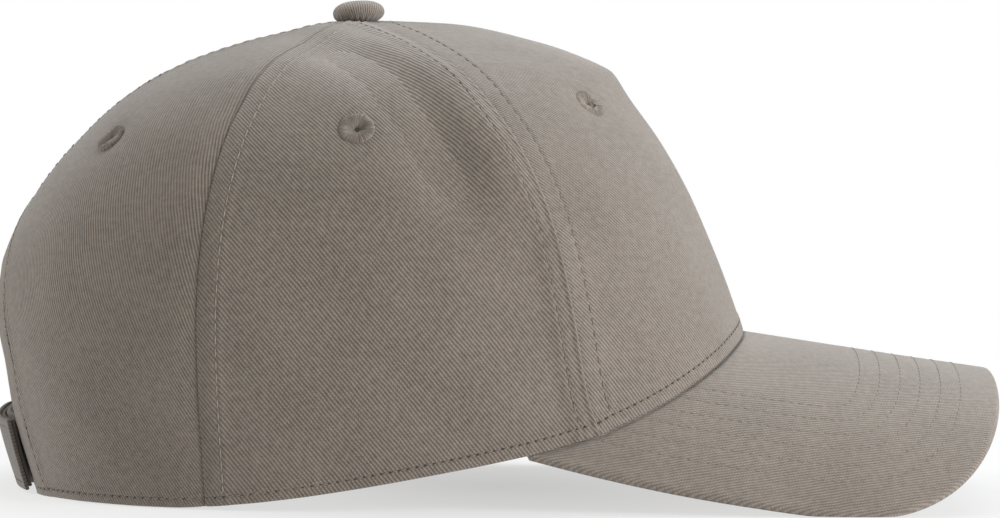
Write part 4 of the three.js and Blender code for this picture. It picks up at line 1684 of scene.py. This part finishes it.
@dataclass(frozen=True)
class CrownSewing:
    """The stitch lines of the crown."""

    lift: float = 0.06
    low_row: float = 0.05
    high_row: float = 12.3
    top_radius: float = 8.5
    side_gap: float = 0.6
    arch_foot: float = 3.0
    back_radius: float = 103.0
    hole_sink: float = -0.02
    seam_hole_way: float = 1.7
    hem_hole_way: float = 1.17
    seam_hole_radius: float = 56.0

    def seam_run(self, cloth: Cloth, seam: Seam, distance: float, hand: Hand) -> StitchRun:
        """Returns one line beside a seam, from the rim hem to the button.

        Args:
            cloth: Kind of panel.
            seam: The seam.
            distance: Distance of the line, positive towards the back.
            hand: Side of the cap.

        Returns:
            The stitches.
        """
        row = np.linspace(self.low_row, self.high_row, 500)
        turn = seam.turn_at(np.full_like(row, distance), row)
        above = CROWN.climb(turn, row) - CROWN.rim_climb(turn)
        clear = above > SEWN.rim_stitch(turn)
        if seam is CROWN.back_seam:
            clear &= SEWN.arch_distance(CROWN.outer(turn, row)) > SEWN.arch_stitch
        clear &= CROWN.radius(turn, row, plain=True) > self.top_radius
        return self.run(cloth, hand.value * turn[clear], row[clear], SEWN.seam_pitch)

    def run(self, cloth: Cloth, angle: Array, row: Array, pitch: float) -> StitchRun:
        """Returns a line through angles and rows of one panel."""
        return StitchRun.along_path(SEWN.skin(cloth, angle, row), CROWN.normal(angle, row), pitch, self.lift)

    def rim_run(self, cloth: Cloth, start: float, end: float, hand: Hand) -> StitchRun:
        """Returns the row above the rim between two angles.

        Args:
            cloth: Kind of panel.
            start: First angle off the front.
            end: Last angle off the front.
            hand: Side of the cap.

        Returns:
            The stitches.
        """
        turn = np.linspace(start, end, 400)
        row = CROWN.row_of_climb(turn, CROWN.rim_climb(turn) + SEWN.rim_stitch(turn) / CROWN.rim_cosine(turn))
        return self.run(cloth, hand.value * turn, row, SEWN.rim_pitch)

    def arch_run(self, hand: Hand) -> StitchRun:
        """Returns the row round half of the rear opening.

        Args:
            hand: Side of the cap.

        Returns:
            The stitches.
        """
        half = CROWN.opening_half_width + SEWN.arch_stitch
        leg = np.linspace(self.arch_foot, CROWN.opening_spring, 60)[:-1]
        swing = np.linspace(0, np.pi / 2, 200)
        side = np.concatenate([np.full_like(leg, half), half * np.cos(swing)])
        row = CROWN.row_at(np.concatenate([leg, CROWN.opening_spring + half * np.sin(swing)]))
        return self.run(Cloth.REAR, hand.value * RearPanel.turn_at_side(side, row), row, SEWN.rim_pitch)

    def seam_runs(self) -> list[StitchRun]:
        """Returns all lines beside the front seams and the middle seam at the back.

        Returns:
            For each side the lines on the front, side and rear panel, in this order.
        """
        lines = ((Cloth.FRONT, CROWN.front_seam, -SEWN.front_stitch),
                 (Cloth.SIDE, CROWN.front_seam, SEWN.front_stitch),
                 (Cloth.REAR, CROWN.back_seam, -SEWN.back_stitch))
        return [self.seam_run(*line, hand) for hand in Hand for line in lines]

    def pale_runs(self) -> list[StitchRun]:
        """Returns the lines beside the rear seams, whose thread lies open on the cloth."""
        return [self.seam_run(Cloth.SIDE, CROWN.rear_seam, -SEWN.rear_stitch, hand) for hand in Hand]

    def hem_runs(self) -> list[StitchRun]:
        """Returns all lines along the rim and the opening.

        Returns:
            For each side the rim of the front, side and rear panel and half of the opening.
        """
        front = float(CROWN.front_seam.turn_at(np.zeros(1), np.array([1.6]))[0])
        half = CROWN.opening_half_width + SEWN.arch_stitch
        corner = HALF_TURN - math.degrees(math.asin(half / self.back_radius))
        gap = self.side_gap
        runs = []
        for hand in Hand:
            for line in ((Cloth.FRONT, 0.4, front - gap), (Cloth.SIDE, front + gap, REAR_SEAM - gap),
                         (Cloth.REAR, REAR_SEAM + gap, corner)):
                runs.append(self.rim_run(*line, hand))
            runs.append(self.arch_run(hand))
        return runs

    def seam_holes(self, runs: list[StitchRun]) -> list[StitchRun]:
        """Returns the places of the near-black marks that paint the shade in the needle's holes, low on the
        lines of the side and rear panels.
        """
        low = [run.outside(self.seam_hole_radius) for k, run in enumerate(runs) if k % 3]
        return [run.shifted(self.seam_hole_way, self.hole_sink) for run in low]

    def hem_holes(self, runs: list[StitchRun]) -> list[StitchRun]:
        """Returns the places of the near-black marks that paint the shade in the needle's holes along the rim
        and the opening.
        """
        return [run.shifted(self.hem_hole_way, self.hole_sink) for run in runs]


def even(height: float) -> Callable[[Array], Array]:
    """Returns a measure that is the same at every angle."""
    return lambda turn: np.full_like(turn, height)


@dataclass(frozen=True)
class Band:
    """Strip that follows the crown without its seams: the sweatband or one strap half."""

    name: str
    slot: str
    start: float
    end: float
    foot: Callable[[Array], Array]
    width: float
    wall: float
    depth: Callable[[Array], Array]
    finish: Tape | Twill
    columns: int = 240
    rows: int = 26
    roll_share: float = 0.34
    inset: float = 0.0
    degree_length: float = 1.7
    edge_zone: float = 1.6
    hem_line: Bump = Bump(-0.12, 2.2, 0.45)

    def spread(self, length: float, count: int) -> Array:
        """Returns positions along a length, finer at both ends."""
        edge = np.array([0, 0.03, 0.1, 0.2, 0.34, 0.5, 0.75, 1.1])
        inner = np.linspace(self.edge_zone, length - self.edge_zone, count)
        return np.concatenate([edge, inner, length - edge[::-1]])

    def net(self) -> tuple[Array, Array, Array, Array]:
        """Works out the net of the strip.

        Returns:
            Angles, rows, distances from the nearest edge and cloth coordinates.
        """
        whole = abs(self.end - self.start) * self.degree_length
        length, tall = whole - 2 * self.inset, self.width - 2 * self.inset
        along, up = self.spread(length, self.columns), self.spread(tall, self.rows)
        ways, rises = np.meshgrid(along, up, indexing="ij")
        angle = self.start + (self.end - self.start) * (ways + self.inset) / whole
        height = self.foot(np.abs(angle)) + self.inset + rises
        distance = np.minimum(np.minimum(ways, length - ways), np.minimum(rises, tall - rises))
        return angle, CROWN.row_at(height), distance, np.stack([ways, rises], axis=-1)

    def grid(self) -> Grid:
        """Works out both faces of the strip with their round edges.

        Returns:
            The closed shell.
        """
        angle, row, distance, flat = self.net()
        out = CROWN.normal(angle, row, plain=True)
        base = CROWN.outer(angle, row, plain=True) - out * self.depth(np.abs(angle))[..., None]
        fall = edge_roll(distance, self.wall * self.roll_share)
        soft = 0.08 * BROAD.at(flat[..., 0] + 40 * self.width, flat[..., 1], 12.0) + self.hem_line.at(distance)
        return Grid(base + out * (soft * step(distance, 0, 1) - fall)[..., None],
                    base - out * (self.wall - fall)[..., None], flat)

    def build(self, *nodes: str) -> None:
        """Makes the strip and tells the frame which solids it stands for."""
        cloth = self.name + "_cloth"
        dressed(placed(self.grid().mesh(cloth), cloth, self.finish.material()), self.slot, *nodes)

    def edge_runs(self, inset: float, pitch: float) -> list[StitchRun]:
        """Returns stitch lines along both long edges.

        Args:
            inset: Distance of the lines from the edges.
            pitch: Length of one stitch with its gap.

        Returns:
            The runs.
        """
        angle = np.linspace(self.start, self.end, 300)
        turn = np.abs(angle)
        runs = []
        for rise in (inset, self.width - inset):
            row = CROWN.row_at(self.foot(turn) + rise)
            out = CROWN.normal(angle, row, plain=True)
            deep = self.depth(turn) - self.hem_line.height
            path = CROWN.outer(angle, row, plain=True) - out * deep[:, None]
            runs.append(StitchRun.along_path(path, out, pitch, 0.06))
        return runs


@dataclass(frozen=True)
class HeadBand:
    """Sweatband: a cloth band inside the rim, as deep in the cap as its setback says."""

    height: float = 30.0
    wall: float = 1.2
    setback: float = 0.7
    above_rim: float = 0.6
    end_angle: float = 143.0
    level: float = 0.25

    def foot(self, turn: Array) -> Array:
        """Returns the height of the band's lower edge."""
        return np.interp(turn, CROWN.turns, CROWN.rim_heights) + self.above_rim

    def depth(self) -> float:
        """Returns how far inside the crown's outer face the band stands."""
        return CROWN.wall + CROWN.fit + self.setback

    def build(self) -> None:
        """Makes the band."""
        Band("sweatband", "band_cloth", -self.end_angle, self.end_angle, self.foot, self.height, self.wall,
             even(self.depth()), Tape("band_cloth", self.level), columns=300).build("sweatband")


@dataclass(frozen=True)
class Strap:
    """Rear strap: two halves closed with hook and loop, and the soft facing behind the upper end."""

    depth: float
    width: float = 19.2
    foot: float = 1.6
    root: float = 145.0
    under_end: float = 186.0
    over_end: float = 204.0
    facing_start: float = 168.0
    facing_end: float = 203.6
    facing_inset: float = 0.5
    facing_depth: float = 1.4
    walls: tuple[float, float, float] = (1.3, 1.15, 1.0)
    under_rise: tuple[float, float] = (155.0, 165.0)
    over_rise: tuple[float, float] = (155.0, 171.0)
    over_depth: float = -2.9
    stitch_inset: float = 2.2
    stitch_pitch: float = 2.6

    def twill(self, name: str) -> Twill:
        """Returns the close twill of the strap."""
        return Twill(name, 40.0, 0.17, pitch=0.7, contrast=0.35, depth=0.1)

    def build(self) -> list[StitchRun]:
        """Makes both halves and the facing.

        Returns:
            The stitch lines along both halves.
        """
        under_depth = Fade(*self.under_rise, self.depth, 0.0)
        over_depth = Fade(*self.over_rise, self.depth, self.over_depth)
        foot, slot = even(self.foot), "strap_cloth"
        under = Band("right_strap", slot, -self.root, -self.under_end, foot, self.width, self.walls[0],
                     under_depth.at, self.twill("strap_twill"), columns=90)
        over = Band("left_strap", slot, self.root, self.over_end, foot, self.width, self.walls[1],
                    over_depth.at, self.twill("left_strap_twill"), columns=110)
        facing = Band("left_strap_tape", slot, self.facing_start, self.facing_end, foot, self.width,
                      self.walls[2], lambda turn: over_depth.at(turn) + self.facing_depth,
                      Tape("strap_pile", 0.14, fuzz=0.6), columns=80, inset=self.facing_inset)
        under.build("right_strap")
        over.build("left_strap")
        facing.build()
        return [run for half in (under, over) for run in half.edge_runs(self.stitch_inset, self.stitch_pitch)]


# Half section of an eyelet: distance from its axis, height over its seat, strength of the strands
EYELET_PROFILE = np.array([
    (4.85, -0.85, 0.3), (4.8, -0.5, 0.9), (4.6, -0.26, 1.2), (4.3, -0.1, 1.2), (3.9, 0.0, 1.1),
    (3.4, 0.02, 1.1), (2.8, -0.06, 1.0), (2.3, -0.2, 1.0), (1.8, -0.45, 1.0), (1.4, -0.7, 0.9),
    (1.05, -0.95, 0.7), (0.8, -1.35, 0.4), (0.75, -1.8, 0.2), (0.85, -2.2, 0.2), (1.3, -2.5, 0.6),
    (2.2, -2.6, 0.8), (3.2, -2.55, 0.8), (3.7, -2.3, 0.4), (3.75, -1.9, 0.2)])


@dataclass(frozen=True)
class Eyelet:
    """Embroidered eyelet: radial thread round a small puckered hole."""

    seat: EyeletSeat
    hand: Hand
    finish: Satin
    strands: int = 48
    around: int = 348
    strand_height: float = 0.19
    sink: float = 0.07
    pucker: Bump = Bump(0.42, 1.7, 1.4)

    def shape(self, swing: Array) -> tuple[Array, Array]:
        """Works out the ring with its strands and its drawn hole.

        Args:
            swing: Angles round the eyelet.

        Returns:
            Distance from the axis and height over the seat, rings first.
        """
        radius, height, weight = (EYELET_PROFILE[:, k][:, None] for k in range(3))
        wander = CLOSE.at(np.degrees(swing) / 3, radius * 0 + self.seat.turn, 7.0)
        strand = np.abs(np.sin(self.strands / 2 * swing + 0.5 * wander)) * np.clip(radius / 3.2, 0.2, 1)
        pucker = np.cos(2 * swing + 0.7 + self.seat.turn) * self.pucker.at(radius)
        r = radius + 0.14 * wander * weight * np.clip(radius / 4, 0, 1) + 0.25 * pucker
        return r, height + weight * (self.strand_height * strand - self.sink + 0.1 * wander) + pucker

    def build(self) -> None:
        """Makes the eyelet and tells the frame what it stands for."""
        name = f"{self.hand.name.lower()}_{self.seat.cloth.value}_eyelet"
        swing = np.linspace(0, 2 * np.pi, self.around, endpoint=False)[None, :]
        r, z = self.shape(swing)
        out = self.seat.outward(self.hand)
        level = unit(np.cross(np.array([0, 0, 1.0]), out))
        round_way = np.cos(swing)[..., None] * level + np.sin(swing)[..., None] * np.cross(out, level)
        places = self.seat.place(self.hand) + r[..., None] * round_way + z[..., None] * out
        half_way = np.minimum(swing, 2 * np.pi - swing) * 4.0
        flat = np.stack([half_way + 0 * r, r + 40 * self.seat.up], axis=-1).reshape(-1, 2)
        faces = loop_faces(len(EYELET_PROFILE), self.around)
        mesh = mesh_of(name + "_thread", places.reshape(-1, 3), faces, flat)
        dressed(placed(mesh, name + "_thread", self.finish.material()), "embroidery", name)


@dataclass(frozen=True)
class Button:
    """Covered button on top of the crown, with cloth gathered under its edge."""

    finish: Twill
    radius: float = 7.2
    height: float = 6.7
    foot: float = 128.7
    lean: float = 0.06
    around: int = 220
    rings: int = 44
    closed_share: float = 0.86
    flatness: float = 0.8
    gathers: int = 26
    gather_depth: Fade = Fade(0.55, 0.85, 0.0, 0.16)

    def build(self) -> None:
        """Makes the button and tells the frame what it stands for."""
        swing = np.linspace(0, 2 * np.pi, self.around, endpoint=False)[None, :]
        share = np.linspace(0, 1, self.rings)[:, None]
        lean = share * np.pi * self.closed_share
        z = self.height / 2 * (1 + np.cos(lean))
        turn = np.degrees(swing)
        drawn = self.gathers * swing + 2.0 * CLOSE.at(turn / 4, 3.0, 9.0)
        gather = np.sin(drawn) * self.gather_depth.at(share)
        r = self.radius * np.sin(lean) ** self.flatness + gather + 0.05 * BROAD.at(turn / 8, share * 20, 6.0)
        x, y = r * np.cos(swing), r * np.sin(swing)
        places = np.stack([x, y, self.foot + z + self.lean * x], axis=-1)
        way = way_along(np.stack([r.mean(axis=1), z[:, 0]], axis=1))[:, None]
        flat = np.stack([way * np.cos(swing), way * np.sin(swing)], axis=-1)
        faces = loop_faces(self.rings, self.around)[:, ::-1]
        mesh = mesh_of("button_cloth", places.reshape(-1, 3), faces, flat.reshape(-1, 2))
        dressed(placed(mesh, "button_cloth", self.finish.material()), "twill", "button")


@dataclass(frozen=True)
class SoftLight:
    """A square soft light: its place in metres, its side, its power in watts and its tint."""

    name: str
    spot: tuple[float, float, float]
    size: float
    power: float
    tint: tuple[float, float, float]

    def build(self, aim: Vector) -> None:
        """Adds the light.

        Args:
            aim: Place that it looks at.
        """
        data = bpy.data.lights.new(self.name, "AREA")
        data.shape, data.size, data.energy, data.color = "SQUARE", self.size, self.power, self.tint
        made = bpy.data.objects.new(self.name, data)
        made.location = self.spot
        made.rotation_euler = (aim - Vector(self.spot)).to_track_quat("-Z", "Y").to_euler()
        bpy.context.scene.collection.objects.link(made)


@dataclass(frozen=True)
class Studio:
    """Pale floor, even white surroundings, soft lights and the camera of the photo."""

    target: tuple[float, float, float] = (0.8, 0.0, 63.7)
    distance: float = 1500.0
    elevation: float = 3.0
    yaw: float = -1.0
    roll: float = 0.85
    lens: float = 192.86
    surroundings: float = 0.285
    floor_half: float = 60.0
    floor_drop: float = 0.0002
    aim: tuple[float, float, float] = (0.0, 0.0, 0.06)
    lights: tuple[SoftLight, ...] = (
        SoftLight("top_light", (0.35, 1.0, 1.5), 1.4, 23.0, (0.9, 0.96, 1.0)),
        SoftLight("front_light", (1.75, -0.75, 0.7), 1.0, 28.0, (0.98, 0.985, 1.0)),
        SoftLight("side_light", (-0.5, -2.2, 0.9), 1.4, 0.6, (1.0, 0.97, 0.94)),
        SoftLight("back_light", (-1.7, 0.5, 0.9), 1.0, 16.0, (1.0, 0.985, 0.97)))

    def camera(self) -> None:
        """Sets the camera."""
        yaw, rise, roll = (math.radians(v) for v in (self.yaw, self.elevation, self.roll))
        back = Vector((math.sin(yaw) * math.cos(rise), -math.cos(yaw) * math.cos(rise), math.sin(rise)))
        right = Vector((math.cos(yaw), math.sin(yaw), 0))
        up = right.cross(-back)
        level = right * math.cos(roll) + up * math.sin(roll)
        upright = -right * math.sin(roll) + up * math.cos(roll)
        spot = (Vector(self.target) + back * self.distance) * MM
        turn = Matrix((level, upright, back)).transposed()
        data = bpy.data.cameras.new("view")
        data.lens, data.sensor_width = self.lens, 36.0
        data.clip_start, data.clip_end = 0.05, 300.0
        made = bpy.data.objects.new("view", data)
        made.matrix_world = Matrix.Translation(spot) @ turn.to_4x4()
        bpy.context.scene.collection.objects.link(made)
        bpy.context.scene.camera = made

    def floor(self) -> None:
        """Adds the floor, which turns plain white away from the cap."""
        s = Shader("pale_floor", 0.9)
        s.put(s.surface.inputs["Base Color"], (0.83, 0.83, 0.83, 1))
        away = s.node("ShaderNodeVectorMath")
        away.operation = "LENGTH"
        s.put(away.inputs[0], s.node("ShaderNodeTexCoord").outputs["Object"])
        share = s.node("ShaderNodeMapRange", Value=away.outputs["Value"], From_Min=-0.42, From_Max=0.38)
        seen = s.node("ShaderNodeLightPath").outputs["Is Camera Ray"]
        glow = s.node("ShaderNodeEmission", Strength=s.math("MULTIPLY_ADD", seen, 0.3, 0.7))
        blend = s.node("ShaderNodeMixShader")
        for socket, output in zip(blend.inputs, (share.outputs[0], s.surface.outputs[0], glow.outputs[0])):
            s.put(socket, output)
        s.put(s.tree.nodes["Material Output"].inputs["Surface"], blend.outputs[0])
        half, low = self.floor_half, -self.floor_drop
        mesh = bpy.data.meshes.new("floor")
        corners = [(x * half, y * half, low) for x, y in ((-1, -1), (1, -1), (1, 1), (-1, 1))]
        mesh.from_pydata(corners, [], [(0, 1, 2, 3)])
        placed(mesh, "floor", s.material)

    def world(self) -> None:
        """Sets the even light from all round, white where the camera sees it."""
        world = bpy.data.worlds.new("surroundings")
        world.use_nodes = True
        tree = world.node_tree
        plain, seen = tree.nodes["Background"], tree.nodes.new("ShaderNodeBackground")
        path, blend = tree.nodes.new("ShaderNodeLightPath"), tree.nodes.new("ShaderNodeMixShader")
        plain.inputs[0].default_value = (1.0, 0.975, 0.945, 1)
        plain.inputs[1].default_value = self.surroundings
        seen.inputs[0].default_value = (1, 1, 1, 1)
        outputs = (path.outputs["Is Camera Ray"], plain.outputs[0], seen.outputs[0])
        for output, socket in zip(outputs, blend.inputs):
            tree.links.new(output, socket)
        tree.links.new(blend.outputs[0], tree.nodes["World Output"].inputs["Surface"])
        bpy.context.scene.world = world

    def build(self) -> None:
        """Sets up camera, floor, surroundings and lights."""
        self.camera()
        self.floor()
        self.world()
        for light in self.lights:
            light.build(Vector(self.aim))
        bpy.context.scene.view_settings.view_transform = "Standard"


def main() -> None:
    """Builds the cap in order, from the crown to the light."""
    logging.basicConfig(level=logging.INFO, format="%(name)s: %(message)s")
    # One twill for the whole crown, set at a different level for each piece: the front panel is lighter, as
    # painted light where the front and top lamps fall, and the side and rear panels are darker and warmer, as
    # painted shade on the faces turned from the lamps.
    front = Twill("front_twill_lit", 55.0, 0.308)
    side = Twill("side_twill_shaded", 49.0, 0.27, warm=0.012)
    rear = Twill("rear_twill_shaded", 65.0, 0.272, pitch=0.76, warm=0.01)
    Panel("front_panel", Cloth.FRONT, Hand.LEFT, front, 124).build()
    for hand, word in ((Hand.RIGHT, "right"), (Hand.LEFT, "left")):
        Panel(f"{word}_side_panel", Cloth.SIDE, hand, side, 66).build()
        RearPanel(f"{word}_rear_panel", Cloth.REAR, hand, rear, 112, upper_rows=96).build()
    # The peak's twill is set lighter than the crown's sides, as painted light on a face turned up to the lamps.
    peak_runs = Peak(Twill("peak_twill_lit", 70.0, 0.33, pitch=0.8, contrast=0.46, depth=0.13, beat=0.45)).build()
    band = HeadBand()
    band.build()
    strap_runs = Strap(band.depth()).build()

    # The second thread here is near black: the marks built with it paint the shade inside the needle's holes.
    thread, pierced = Thread("sewing_thread", 0.28), Thread("painted_hole_shade", 0.07)
    sewing = CrownSewing()
    seam_runs, hem_runs = sewing.seam_runs(), sewing.hem_runs()
    for name, half_size, finish, runs in (
            ("strap_stitches", (0.85, 0.16, 0.1), Thread("strap_thread", 0.17), strap_runs),
            ("seam_stitches", (1.15, 0.26, 0.2), thread, seam_runs),
            ("rear_seam_stitches", (1.62, 0.2, 0.16), Thread("pale_thread", 0.42), sewing.pale_runs()),
            ("hem_stitches", (0.85, 0.24, 0.2), thread, hem_runs),
            ("peak_stitches", (0.9, 0.2, 0.09), Thread("peak_thread", 0.335), peak_runs),
            # These two rows set near-black marks that paint the shade in the needle's holes.
            ("seam_needle_holes", (0.62, 0.3, 0.12), pierced, sewing.seam_holes(seam_runs)),
            ("hem_needle_holes", (0.36, 0.27, 0.12), pierced, sewing.hem_holes(hem_runs))):
        StitchMaker(name, half_size, finish).build(runs)

    # The front eyelets' satin is set lighter than the others, as painted light that matches the lit front
    # panel.
    front_satin_lit, satin = Satin("front_embroidery_lit", 0.3), Satin("embroidery", 0.265)
    for seat in SEATS:
        embroidery = front_satin_lit if seat.cloth is Cloth.FRONT else satin
        for hand in Hand:
            Eyelet(seat, hand, embroidery).build()
    Button(Twill("button_twill", 82.0, 0.30, pitch=0.72)).build()
    Studio().build()


if __name__ == "__main__":
    main()
